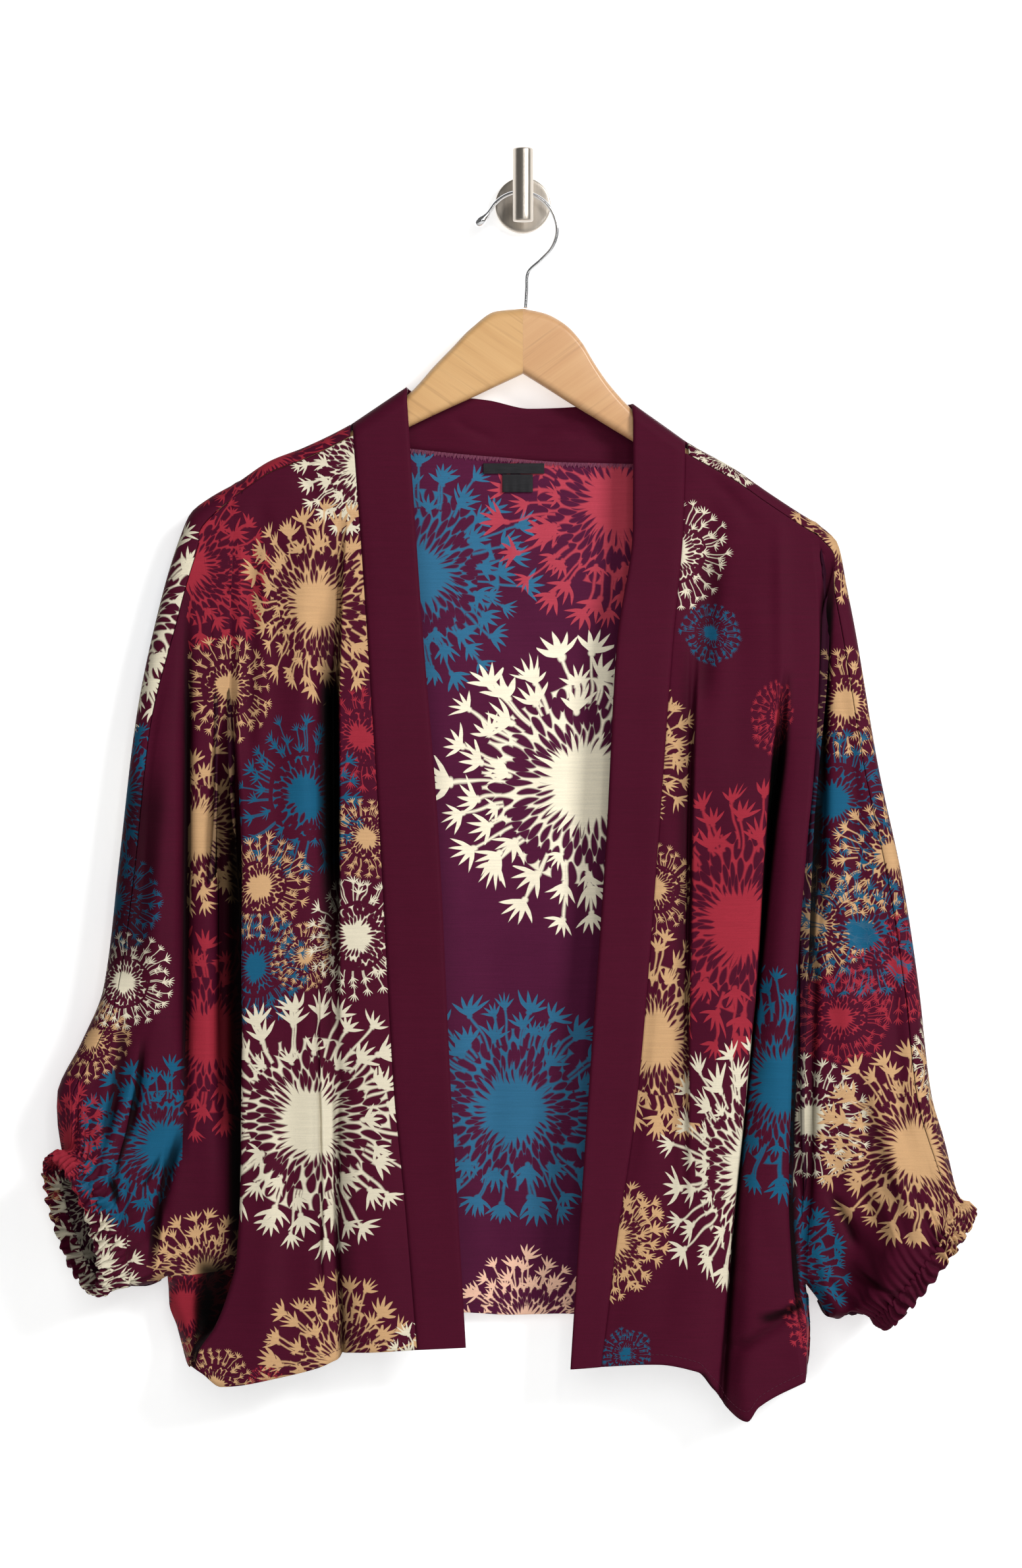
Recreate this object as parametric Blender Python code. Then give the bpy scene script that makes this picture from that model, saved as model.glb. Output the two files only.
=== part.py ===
"""A batwing topper jacket on a wooden hanger, hung on a round wall hook.

The origin is the middle of the hook's rose on the wall, at y = 0. +X runs to the viewer's right, +Y into
the wall and +Z up. Right and left are the wearer's, so the right front hangs at -X. The tables are in
millimetres, and MM turns them into Blender's metres.
"""

import math

import bpy
import numpy as np

MM = 0.001
SHARP_ANGLE = math.radians(50)

# Cloth and seams
CLOTH = 1.2
BAND_CLOTH = 2.0
BAND_PROUD = 0.8
SEAM_GAP = 0.3
OVER_ARM_OPEN = 0.3
LABEL_CLOTH = 1.0

# Depths from the wall, as y
BACK_Y = -10.0
SHOULDER_FRONT_Y = -33.0
FLANK_Y = -25.0
SLEEVE_SINK = 10.0
SLEEVE_SWELL = 18.0

# Rounding of the edges where front turns into back
SHOULDER_ROUND = 11.0
UNDERARM_ROUND = 9.0
FOLD_RADIUS = 4.0
LAP_BEND = 0.4

# Sleeve layout: the share of the sleeve where the side seam starts, and where the cuff's shape takes over
SIDE_SHARE = 0.27
CUFF_BLEND = 0.70
CREST_BLEND = 0.90
CREST_SHARE = 0.45
SEAM_TURN = 25.0
SEAM_OPEN = 0.35
CUFF_REACH = 120.0
CUFF_PUFF = 5.0
PUFF_SHARE = 0.15
COLUMN_LEAD = 42.0
LOWER_LEAD = 0.35
LEAD_SHARE = 0.12
COLUMN_POINTS = 81
LAP_FADE = 0.35
FLANK_START = 7.0
FLANK_RUN = 10.0

# Cuff casings
GATHERS = 40
GATHER_SAMPLES = 2
CASING_WIDTH = 13.0
GATHER_DEPTH = 1.3

# Hanger and hook
ARM_THICK = 14.0
ARM_Y = -22.0
ARM_ROUND = 6.5
ARM_CLEAR = 0.9
WIRE_RADIUS = 1.4
STEM_RADIUS = 5.0
ROSE_RADIUS = 19.5
ROSE_THICK = 6.0
PEG_RADIUS = 7.1
PEG_Y = -45.0
PEG_TOP = 34.3
PEG_BOTTOM = -16.5
EDGE_ROUND = 1.2
ROSE_SIDES = 40
PEG_SIDES = 24
WIRE_SIDES = 2

SHOULDER_END_Z = -245.0
SHOULDER_NEAR_Z = -180.0
HEM_NEAR_Z = -810.0
SETTLE_ROUNDS = 6
FAR = 1000.0

OUTWARD = {"right": -1.0, "left": 1.0}


def table(names, *rows):
    """A short table whose columns are reached by name."""
    return dict(zip(names.split(), np.array(rows, float).T))


# Outline of the shoulder and over-arm, neck to cuff, with the seam's distance in from it on the front
OVER_ARM = {
    "right": table(
        "x z seam",
        (-81.5, -129.4, 9),
        (-120.6, -155.6, 9),
        (-153.3, -171.7, 9),
        (-177.0, -181.0, 9),
        (-201.8, -197.4, 10),
        (-219.0, -206.8, 14),
        (-232.5, -217.5, 17),
        (-237.6, -228.0, 19),
        (-252.2, -273.8, 20),
        (-270.6, -360.7, 14),
        (-282.1, -457.8, 15),
        (-293.1, -549.8, 12),
        (-307.8, -586.6, 12),
        (-325.0, -623.4, 12),
        (-327.5, -646.0, 12),
    ),
    "left": table(
        "x z seam",
        (73.5, -138.6, 9),
        (115.8, -168.5, 9),
        (148.5, -186.9, 9),
        (170.1, -202.0, 9),
        (191.7, -216.3, 9),
        (211.5, -229.2, 10),
        (220.3, -238.8, 11),
        (226.7, -269.2, 12),
        (233.1, -301.9, 12),
        (248.3, -393.0, 12),
        (265.8, -476.2, 12),
        (276.8, -549.8, 12),
        (285.1, -623.4, 12),
        (296.6, -665.0, 12),
    ),
}

# Band down each front: its seam to the front, and its free edge
BAND = {
    "right": table(
        "z seam edge",
        (-130, -121.0, -81.5),
        (-291, -109.5, -70.6),
        (-442, -99.8, -58.7),
        (-620, -89.8, -50.0),
        (-700, -82.0, -45.3),
        (-800, -73.5, -39.5),
    ),
    "left": table(
        "z seam edge",
        (-140, 114.0, 76.8),
        (-227, 112.0, 76.6),
        (-309, 104.5, 65.3),
        (-443, 94.6, 58.0),
        (-620, 80.0, 45.6),
        (-727, 65.0, 38.3),
        (-812, 54.3, 32.8),
    ),
}

# Fold where each front's body laps over the sleeve: its edge, how far it turns and how far it runs back
LAP = {
    "right": table(
        "z edge turn run",
        (-205, -200, 0, 5),
        (-300, -200, 30, 5),
        (-400, -200, 85, 6),
        (-500, -200, 125, 8),
        (-735, -201, 140, 10),
        (-760, -205, 130, 9),
        (-783, -214, 95, 6),
        (-800, -226, 50, 4),
        (-810, -229, 25, 3),
    ),
    "left": table(
        "z edge turn run",
        (-232, 204, 0, 5),
        (-285, 208, 50, 5),
        (-400, 203, 100, 6),
        (-500, 197, 115, 7),
        (-700, 190, 125, 8),
        (-757, 191, 110, 6),
        (-785, 192, 60, 3),
        (-818, 195, 15, 2),
    ),
}

# Front hems from the band to the side seam, and the back hem
HEM = {
    "right": table(
        "x z",
        (-39, -798),
        (-107, -801),
        (-127, -802),
        (-132, -806),
        (-166, -817),
        (-209, -824),
        (-222, -815),
        (-237.5, -805),
    ),
    "left": table(
        "x z",
        (33, -813),
        (94, -809),
        (119, -814),
        (129, -826),
        (155, -848),
        (163, -838),
        (199, -819),
    ),
}
BACK_HEM = table(
    "x z",
    (-237.5, -805),
    (-150, -793),
    (-39, -778),
    (3, -780),
    (37, -779),
    (130, -796),
    (199, -819),
)

# Lower edge of each sleeve from the underarm point, and the side seam below that point
UNDERARM = {
    "right": table("x z", (-248.6, -751.0), (-264.0, -757.5)),
    "left": table("x z", (197.7, -756.5), (205.5, -766.7), (213.8, -779.5), (227.0, -781.5)),
}
SIDE_SEAM = {
    "right": table("x z", (-248.6, -751.0), (-248.0, -769.0), (-242.4, -787.0), (-237.5, -805.0)),
    "left": table("x z", (197.7, -756.5), (200.6, -788.0), (199.0, -819.0)),
}
UNDERARM_Z = {"right": -744.0, "left": -756.5}

# Rim of each cuff: its middle, half sizes, lean of its tall axis and turn of its mouth towards the viewer
CUFF = {
    "right": dict(x=-314.0, y=-50.0, z=-713.5, tall=49.0, deep=40.0, lean=-16.5, facing=25.0, crest=-30.0),
    "left": dict(x=282.0, y=-55.0, z=-744.4, tall=50.5, deep=36.0, lean=37.7, facing=-3.0, crest=0.0),
}

# Section of a cuff's casing: inwards from its rim, out from the ring, and its share of the gathers' depth
CASING = table(
    "inwards proud wave",
    (CASING_WIDTH, 0.0, 0.6),
    (CASING_WIDTH / 2, 1.6, 1.0),
    (0.8, 0.6, 1.0),
    (0.0, -1.2, 0.7),
    (0.8, -2.6, 0.6),
    (CASING_WIDTH / 2, -2.2, 0.5),
    (CASING_WIDTH, -1.8, 0.3),
)

# Depth of each front across its body, from the band to the lap
FRONT_DEPTH = table(
    "z band middle lap",
    (-130, -33, -33, -33),
    (-240, -34, -35, -34),
    (-350, -39, -43, -41),
    (-500, -44, -51, -52),
    (-740, -50, -58, -58),
    (-850, -53, -62, -60),
)

# Soft upright waves of the back, which grow from the first height down to the second
BACK_WAVES = table("size across down", (1.4, 31.0, 160.0), (0.8, 17.0, -240.0))
BACK_WAVE_START_Z = -200.0
BACK_WAVE_FULL_Z = -700.0

# Long soft folds of the fronts: where each runs, how deep it is, and its reach to either side
FOLDS = {
    "right": (
        dict(
            path=table("z x depth", (-205, -126, 0), (-330, -131, 4), (-460, -132, 5), (-800, -128, 8)),
            inner=16.0,
            outer=9.0,
        ),
    ),
    "left": (
        dict(
            path=table("z x depth", (-190, 130, 0), (-250, 129, 4), (-326, 128, 0)),
            inner=13.0,
            outer=13.0,
        ),
        dict(
            path=table(
                "z x depth",
                (-340, 176, 0),
                (-440, 172, 7),
                (-560, 163, 8),
                (-690, 148, 9),
                (-840, 139, 11),
            ),
            inner=15.0,
            outer=9.0,
        ),
    ),
}

# Back neckline between the backs of the shoulders, and the free edge of the band that stands on it
NECKLINE = table(
    "x z",
    (-120.6, -166.6),
    (-89.8, -169.8),
    (-28.0, -176.0),
    (35.0, -180.6),
    (85.0, -181.6),
    (115.8, -179.5),
)
NECK_EDGE = table(
    "seam x y z",
    (-120.6, -77.0, -12.0, -132.5),
    (-60.0, -45.0, -12.2, -135.6),
    (-28.0, -24.0, -12.0, -138.2),
    (0.0, 4.0, -12.0, -143.8),
    (35.0, 31.0, -12.0, -143.0),
    (80.0, 58.0, -12.2, -141.5),
    (115.8, 69.0, -12.0, -141.5),
)
NECK_CREST = {"right": (-81.5, -129.4), "left": (77.0, -141.0)}

# Labels: the corners of each on the back's inside
LABELS = {
    "label_main": dict(left=-28.0, right=15.0, top=-182.2, bottom=-189.5),
    "label_care": dict(left=-14.5, right=7.0, top=-189.9, bottom=-202.5),
}

# Hanger arms between the mitre and the shoulder
ARM = {
    "right": table(
        "x top bottom",
        (0, -74.7, -120.3),
        (-19, -76.6, -129.2),
        (-37, -89.0, -137.6),
        (-49, -101.4, -143.0),
        (-62, -114.8, -149.0),
        (-78, -132.5, -156.7),
        (-100, -149.0, -167.4),
        (-118, -159.5, -176.1),
    ),
    "left": table(
        "x top bottom",
        (0, -74.7, -120.3),
        (15, -77.9, -129.6),
        (29, -85.3, -138.5),
        (41, -97.8, -145.8),
        (49, -111.1, -150.6),
        (60, -127.2, -157.4),
        (78, -146.6, -168.3),
        (98, -161.0, -180.3),
        (116, -173.5, -191.1),
    ),
}
ARM_END = {"right": 216.0, "left": 207.0}
ARM_SHOULDER_START = {"right": 135.0, "left": 132.0}
ARM_SLOPE = {"right": 0.485, "left": 0.60}
ARM_TIP_LONG = 9.0
ARM_TIP = table("reach top_cut bottom_cut", (0.5, 3.0, 1.2), (0.85, 4.0, 1.6))
ARM_SECTIONS = 6
ARM_CORNER = (0, 30, 60, 90)

# Wire of the hanger's hook, from the wood up over the wall hook's stem to its drop end
HOOK_ROUTE = table(
    "x z thick",
    (1.8, -74.2, 1.0),
    (2.6, -61.0, 1.0),
    (3.6, -49.5, 1.0),
    (12.6, -40.6, 1.0),
    (20.4, -32.0, 1.0),
    (24.0, -20.5, 1.0),
    (21.8, -9.4, 1.0),
    (14.0, 1.0, 1.0),
    (1.5, 6.7, 1.0),
    (-10.0, 5.4, 1.0),
    (-19.0, -0.6, 1.0),
    (-23.8, -7.2, 1.0),
    (-26.2, -10.2, 1.7),
    (-29.2, -13.2, 2.5),
    (-31.8, -15.6, 2.0),
    (-33.0, -16.8, 0.6),
)
HOOK_POINTS = 46


def read(rows, key, value, at):
    """Column value of a table at places along column key, on a curve that never overshoots its rows."""
    order = np.argsort(rows[key])
    knots = rows[key][order]
    heights = rows[value][order]
    gaps = np.diff(knots)
    rises = np.diff(heights) / gaps
    same_way = rises[1:] * rises[:-1] > 0
    total = np.where(same_way, rises[1:] + rises[:-1], 1.0)
    inner = np.where(same_way, 2 * rises[1:] * rises[:-1] / total, 0.0)
    slopes = np.concatenate([rises[:1], inner, rises[-1:]])
    at = np.clip(at, knots[0], knots[-1])
    i = np.clip(np.searchsorted(knots, at, side="right") - 1, 0, len(gaps) - 1)
    t = (at - knots[i]) / gaps[i]
    start = heights[i] * (1 + 2 * t) * (1 - t) ** 2 + slopes[i] * gaps[i] * t * (1 - t) ** 2
    end = heights[i + 1] * t * t * (3 - 2 * t) + slopes[i + 1] * gaps[i] * t * t * (t - 1)
    return start + end


def mix(a, b, share):
    return a + (b - a) * share


def step(low, high, at):
    t = np.clip((at - low) / (high - low), 0.0, 1.0)
    return t * t * (3 - 2 * t)


def rounded(distance, radius):
    """Quarter-round profile: 0 at an edge, with the surface square to it, and 1 from the radius inwards."""
    t = np.clip(distance / radius, 0.0, 1.0)
    return np.sqrt(1 - (1 - t) ** 2)


def by_length(x, z):
    """A table of points with their length along the line through them."""
    lengths = np.concatenate([[0.0], np.cumsum(np.hypot(np.diff(x), np.diff(z)))])
    return dict(length=lengths, x=np.array(x), z=np.array(z))


def ring_axes(side):
    """Tall axis, deep axis towards the viewer and outward axis of a cuff's rim."""
    cuff = CUFF[side]
    lean = math.radians(cuff["lean"])
    facing = math.radians(cuff["facing"])
    tall = np.array([math.sin(lean), 0.0, math.cos(lean)])
    deep = np.array([-OUTWARD[side] * math.sin(facing), -math.cos(facing), 0.0])
    axis = OUTWARD[side] * np.cross(tall, deep)
    return tall, deep, axis / np.linalg.norm(axis)


def ring(side, degrees, inwards, proud=0.0):
    """Points round a cuff: 0 degrees at its top and 90 at its front, set inwards from the rim."""
    cuff = CUFF[side]
    tall, deep, axis = ring_axes(side)
    angle = np.radians(np.asarray(degrees, float))[..., None]
    middle = np.array([cuff["x"], cuff["y"], cuff["z"]]) - axis * np.asarray(inwards)[..., None]
    proud = np.asarray(proud)[..., None]
    up = np.cos(angle) * tall * (cuff["tall"] + proud)
    forward = np.sin(angle) * deep * (cuff["deep"] + proud)
    return middle + up + forward


def sleeve_end(side, degrees):
    return ring(side, degrees, CASING_WIDTH + SEAM_GAP)


def shoulder_height(side, x):
    """Height of the shoulder outline above the body, from x."""
    rows = OVER_ARM[side]
    keep = rows["z"] > SHOULDER_END_Z
    return read(dict(x=rows["x"][keep], z=rows["z"][keep]), "x", "z", x)


def lap_section(side, z, share):
    """The lap fold at height z: x and added depth, from its near side at share 0 to its far side at 1."""
    turn = np.radians(read(LAP[side], "z", "turn", z))
    run = read(LAP[side], "z", "run", z)
    edge = read(LAP[side], "z", "edge", z)
    r = FOLD_RADIUS
    near = np.clip(share / LAP_BEND, 0, 1) * turn
    middle = np.clip((share - LAP_BEND) / (1 - 2 * LAP_BEND), 0, 1) * run
    far = np.clip((share - 1 + LAP_BEND) / LAP_BEND, 0, 1)
    left_over = turn * (1 - far)
    out = r * np.sin(near) - r + middle * np.cos(turn) + r * (np.sin(turn) - np.sin(left_over))
    back = r * (1 - np.cos(near)) + middle * np.sin(turn) + r * (np.cos(left_over) - np.cos(turn))
    return edge + OUTWARD[side] * out, back


def front_depth(side, x, z, share):
    """Depth of a front's body: share runs from 0 at the band to 1 at the lap."""
    band, middle, lap = (read(FRONT_DEPTH, "z", name, z) for name in ("band", "middle", "lap"))
    share = np.clip(share, 0.0, 1.0)
    bow = middle - (band + lap) / 2
    depth = mix(band, lap, share) + 4 * bow * share * (1 - share)
    for fold in FOLDS[side]:
        offset = (x - read(fold["path"], "z", "x", z)) * OUTWARD[side]
        reach = np.where(offset > 0, fold["outer"], fold["inner"])
        depth = depth + read(fold["path"], "z", "depth", z) * np.exp(-((offset / reach) ** 2))
    return depth


def back_depth(x, z):
    """Depth of the back, with soft upright waves that grow downwards."""
    growth = 1 - step(BACK_WAVE_FULL_Z, BACK_WAVE_START_Z, z)
    depth = np.full(np.shape(x), BACK_Y)
    for size, across, down in zip(*BACK_WAVES.values()):
        depth = depth + growth * size * np.sin(x / across + z / down)
    return depth


def lap_line(side, z):
    """Where the sleeve starts behind the lap: x and depth at height z."""
    x, back = lap_section(side, z, 1.0)
    edge = read(LAP[side], "z", "edge", z)
    return x, front_depth(side, edge, z, 1.0) + back


def lap_top(side):
    """Height at which the lap's line starts on the shoulder outline."""
    return float(shoulder_height(side, LAP[side]["edge"][0]))


def over_arm(side):
    """The over-arm outline from the lap's start to the cuff, by length."""
    rows = OVER_ARM[side]
    start = LAP[side]["edge"][0]
    keep = np.abs(rows["x"]) > abs(start) + FOLD_RADIUS
    end = sleeve_end(side, CUFF[side]["crest"])
    x = np.concatenate([[start], rows["x"][keep], [end[0]]])
    z = np.concatenate([[lap_top(side)], rows["z"][keep], [end[2]]])
    seam = np.concatenate([rows["seam"][~keep][-1:], rows["seam"][keep], rows["seam"][-1:]])
    line = by_length(x, z)
    line["seam"] = seam
    return line


def underarm(side, q):
    """Lower end of sleeve column q: under the lap up to SIDE_SHARE, then along the sleeve's lower edge."""
    rows = UNDERARM[side]
    end = sleeve_end(side, 180.0)
    line = by_length(np.append(rows["x"], end[0]), np.append(rows["z"], end[2]))
    lap_x, _ = lap_line(side, UNDERARM_Z[side])
    if q < SIDE_SHARE:
        share = q / SIDE_SHARE
        return np.array([mix(lap_x, rows["x"][0], share), mix(UNDERARM_Z[side], rows["z"][0], share)])
    at = (q - SIDE_SHARE) / (1 - SIDE_SHARE) * line["length"][-1]
    return np.array([float(read(line, "length", name, at)) for name in ("x", "z")])


def sleeve_column(side, q):
    """One column of the sleeve in plan, from the over-arm outline to the lower edge, and its seam inset."""
    line = over_arm(side)
    at = q * line["length"][-1]
    near = np.clip([at - CLOTH, at + CLOTH], 0.0, line["length"][-1])
    top = np.array([float(read(line, "length", name, at)) for name in ("x", "z")])
    run = np.array([np.diff(read(line, "length", name, near))[0] for name in ("x", "z")])
    run = run / np.linalg.norm(run)
    inward = OUTWARD[side] * np.array([run[1], -run[0]])
    inward = mix(np.array([0.0, -1.0]), inward, step(0.0, LEAD_SHARE, q))
    inward = inward / np.linalg.norm(inward)
    low = underarm(side, q)
    reach = np.linalg.norm(low - top)
    tall = ring_axes(side)[0]
    upward = mix(np.array([0.0, 1.0]), np.array([tall[0], tall[2]]), step(0.5, 1.0, q))
    second = top + inward * min(COLUMN_LEAD, reach * LOWER_LEAD)
    third = low + upward * reach * LOWER_LEAD
    t = np.linspace(0, 1, COLUMN_POINTS)[:, None]
    points = top * (1 - t) ** 3 + 3 * second * t * (1 - t) ** 2
    points = points + 3 * third * t * t * (1 - t) + low * t**3
    if q == 0.0:
        z = mix(top[1], low[1], t[:, 0])
        points = np.stack([lap_line(side, z)[0], z], axis=1)
    return by_length(points[:, 0], points[:, 1]), float(read(line, "length", "seam", at))


def edge_distance(side, x, z):
    """Distance in plan from the sleeve's lower edge and the side seam, where front and back meet."""
    end = sleeve_end(side, 180.0)
    edge_x = np.concatenate([[end[0]], UNDERARM[side]["x"][::-1], SIDE_SEAM[side]["x"][1:]])
    edge_z = np.concatenate([[end[2]], UNDERARM[side]["z"][::-1], SIDE_SEAM[side]["z"][1:]])
    nearest = np.full(np.shape(x), np.inf)
    for i in range(len(edge_x) - 1):
        along = np.array([edge_x[i + 1] - edge_x[i], edge_z[i + 1] - edge_z[i]])
        t = ((x - edge_x[i]) * along[0] + (z - edge_z[i]) * along[1]) / (along @ along)
        t = np.clip(t, 0, 1)
        away = np.hypot(x - edge_x[i] - t * along[0], z - edge_z[i] - t * along[1])
        nearest = np.minimum(nearest, away)
    return nearest


def sleeve_front_depth(side, q, share, z):
    """Depth of a sleeve's front: behind the lap at q 0, fuller towards the cuff, sunk below the underarm."""
    lap_z = np.where(share < 1.0, mix(lap_top(side), UNDERARM_Z[side], share), z)
    behind_lap = lap_line(side, lap_z)[1]
    sleeve = SHOULDER_FRONT_Y - SLEEVE_SINK * np.minimum(share, 1.0) - SLEEVE_SWELL * q * q
    below = step(0.0, FLANK_RUN, UNDERARM_Z[side] - FLANK_START - z) * (share >= 1.0)
    sleeve = mix(sleeve, FLANK_Y, below)
    return mix(behind_lap, sleeve, step(0.0, LAP_FADE, q))


def cuff_blend(q, share):
    """How far a sleeve has taken its cuff's shape: later along the over-arm outline, at share 0."""
    start = mix(CREST_BLEND, CUFF_BLEND, step(0.0, CREST_SHARE, share))
    return step(start, 1.0, q)


def sleeve_skin(side, q_values, distances, below, turns):
    """Outer skin of one face of a sleeve and the flank under it, as rows by columns.

    distances(length, seam) gives each row's distance from the outline, negative on the front of the turn.
    turns gives each row's place round the cuff in degrees.
    """
    columns = []
    for q in q_values:
        line, seam = sleeve_column(side, q)
        rows = distances(line["length"][-1], seam)
        x, z = (read(line, "length", name, np.abs(rows)) for name in ("x", "z"))
        share = np.abs(rows) / line["length"][-1]
        low = underarm(side, q)
        if q <= SIDE_SHARE + 1e-6:
            hem_x = mix(LAP[side]["edge"][-1], SIDE_SEAM[side]["x"][-1], q / SIDE_SHARE)
            flank_z = mix(low[1], read(HEM[side], "x", "z", hem_x), below)
            side_x = read(SIDE_SEAM[side], "z", "x", flank_z)
            flank_x = mix(lap_line(side, flank_z)[0], side_x, q / SIDE_SHARE)
        else:
            flank_z = np.full(len(below), low[1])
            flank_x = np.full(len(below), low[0])
        x = np.concatenate([x, flank_x])
        z = np.concatenate([z, flank_z])
        share = np.concatenate([share, np.ones(len(below))])
        on_front = np.concatenate([rows < 0, np.zeros(len(below), bool)])
        front = sleeve_front_depth(side, q, share, z)
        inset = np.concatenate([np.abs(rows), np.full(len(below), FAR)])
        columns.append((x, z, front, inset, on_front, share))
    x, z, front, inset, on_front, share = (np.stack(part, axis=1) for part in zip(*columns))
    q_values = np.asarray(q_values)[None, :]
    blend = cuff_blend(q_values, share)[..., None]
    turns = np.concatenate([turns, np.full(len(below), 180.0)])
    inwards = CASING_WIDTH + SEAM_GAP + CUFF_REACH * (1 - q_values)
    puff = CUFF_PUFF * step(0.0, PUFF_SHARE, 1 - q_values)
    end = ring(side, turns[:, None], inwards, puff)
    return x, z, front, inset, on_front, blend, end


def top_height(side, place):
    """Height where a column meets the shoulder outline, when its x itself depends on height."""
    z_top = np.array(SHOULDER_NEAR_Z)
    for _ in range(SETTLE_ROUNDS):
        z_top = shoulder_height(side, place(z_top))
    return z_top


def front_skin(side, body, lap, sleeve, above, below):
    """Outer skin of a front and its half sleeve: rows from the shoulder down, columns from the band out."""
    out = OUTWARD[side]
    under = UNDERARM_Z[side]
    columns = []
    places = [(share, None) for share in body] + [(1.0, share) for share in lap[1:-1]]
    for share, at in places:
        def place(z, share=share, at=at):
            if at is not None:
                return lap_section(side, z, at)[0]
            start = read(BAND[side], "z", "seam", z) + out * SEAM_GAP / 2
            return mix(start, lap_section(side, z, 0.0)[0], share)

        z_top = top_height(side, place)
        z_hem = np.array(HEM_NEAR_Z)
        for _ in range(SETTLE_ROUNDS):
            z_hem = read(HEM[side], "x", "z", place(z_hem))
        seam = OVER_ARM[side]["seam"][0] + OVER_ARM_OPEN
        z_above = z_top - mix(seam, z_top - under, above)
        z = np.concatenate([z_above, mix(under, z_hem, below)])
        x = place(z)
        depth_x = x if at is None else read(LAP[side], "z", "edge", z)
        y = front_depth(side, depth_x, z, share)
        if at is not None:
            y = y + lap_section(side, z, at)[1]
        middle = (y + back_depth(x, z)) / 2
        y = mix(middle, y, rounded(z_top - z, SHOULDER_ROUND))
        columns.append(np.stack([x, y, z], axis=1))
    body_skin = np.stack(columns, axis=1)

    def distances(length, seam):
        return mix(seam + OVER_ARM_OPEN, length, above)

    crest = CUFF[side]["crest"]
    turns = np.linspace(crest + SEAM_TURN + SEAM_OPEN, 180.0 - SEAM_OPEN, len(above))
    x, z, front, inset, _, blend, end = sleeve_skin(side, sleeve, distances, below, turns)
    middle = (front + back_depth(x, z)) / 2
    edge = rounded(inset, SHOULDER_ROUND) * rounded(edge_distance(side, x, z), UNDERARM_ROUND)
    y = mix(middle - SEAM_GAP / 2, front, edge)
    sleeve_part = mix(np.stack([x, y, z], axis=2), end, blend)
    return np.concatenate([body_skin, sleeve_part], axis=1)


def back_top(x):
    """Top of the back: the shoulder outlines, and between them a line one rounding above the neckline."""
    z = read(NECKLINE, "x", "z", x) + SHOULDER_ROUND
    z = np.where(x < NECKLINE["x"][0], shoulder_height("right", x), z)
    return np.where(x > NECKLINE["x"][-1], shoulder_height("left", x), z)


def back_body(columns, turn_rows, above, below):
    """Outer skin of the back between the two lap lines; columns are places across the shoulders."""
    starts = [lap_line(side, np.array(lap_top(side)))[0] for side in ("right", "left")]
    skin = []
    for place in columns:
        share = (place - starts[0]) / (starts[1] - starts[0])
        z_top = float(back_top(place))
        under = mix(UNDERARM_Z["right"], UNDERARM_Z["left"], share)
        over = np.where(turn_rows == turn_rows[0], turn_rows + OVER_ARM_OPEN, turn_rows)
        distance = np.concatenate([over, mix(SHOULDER_ROUND, z_top - under, above)])
        z_hem = read(BACK_HEM, "x", "z", place)
        z = np.concatenate([z_top - np.abs(distance), mix(under, z_hem, below)])
        x = mix(lap_line("right", z)[0], lap_line("left", z)[0], share)
        back = back_depth(x, z)
        middle = (back + SHOULDER_FRONT_Y) / 2
        level = np.concatenate([distance, np.full(len(below), FAR)])
        face = np.where(level < 0, SHOULDER_FRONT_Y, back)
        y = mix(middle, face, rounded(np.abs(level), SHOULDER_ROUND))
        skin.append(np.stack([x, y, z], axis=1))
    return np.stack(skin, axis=1)


def back_sleeve(side, sleeve, turn_rows, above, below):
    def distances(length, seam):
        over = np.where(turn_rows == turn_rows[0], OVER_ARM_OPEN - seam, turn_rows)
        return np.concatenate([over, mix(SHOULDER_ROUND, length, above)])

    crest = CUFF[side]["crest"]
    over = crest + (SEAM_TURN - SEAM_OPEN) * np.clip(turn_rows / turn_rows[0], 0, 1)
    first = int(np.argmax(turn_rows >= 0))
    behind = np.linspace(crest, SEAM_OPEN - 180.0, len(turn_rows) - first + len(above))
    turns = np.concatenate([over[:first], behind])
    x, z, front, inset, on_front, blend, end = sleeve_skin(side, sleeve, distances, below, turns)
    back = back_depth(x, z)
    middle = (front + back) / 2
    face = np.where(on_front, front, back)
    edge = rounded(inset, SHOULDER_ROUND) * rounded(edge_distance(side, x, z), UNDERARM_ROUND)
    y = mix(middle + SEAM_GAP / 2 * ~on_front, face, edge)
    return mix(np.stack([x, y, z], axis=2), end, blend)


def skin_normals(skin, cells, facing):
    """Unit normals of a skin from the cells round each point."""
    normals = np.zeros_like(skin)
    first = skin[1:, 1:] - skin[:-1, :-1]
    second = skin[:-1, 1:] - skin[1:, :-1]
    flat = np.cross(second, first) * facing
    flat = np.where(cells[..., None], flat, 0.0)
    for rows in (slice(None, -1), slice(1, None)):
        for columns in (slice(None, -1), slice(1, None)):
            normals[rows, columns] += flat
    length = np.linalg.norm(normals, axis=2, keepdims=True)
    return normals / np.where(length > 0, length, 1.0)


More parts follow.
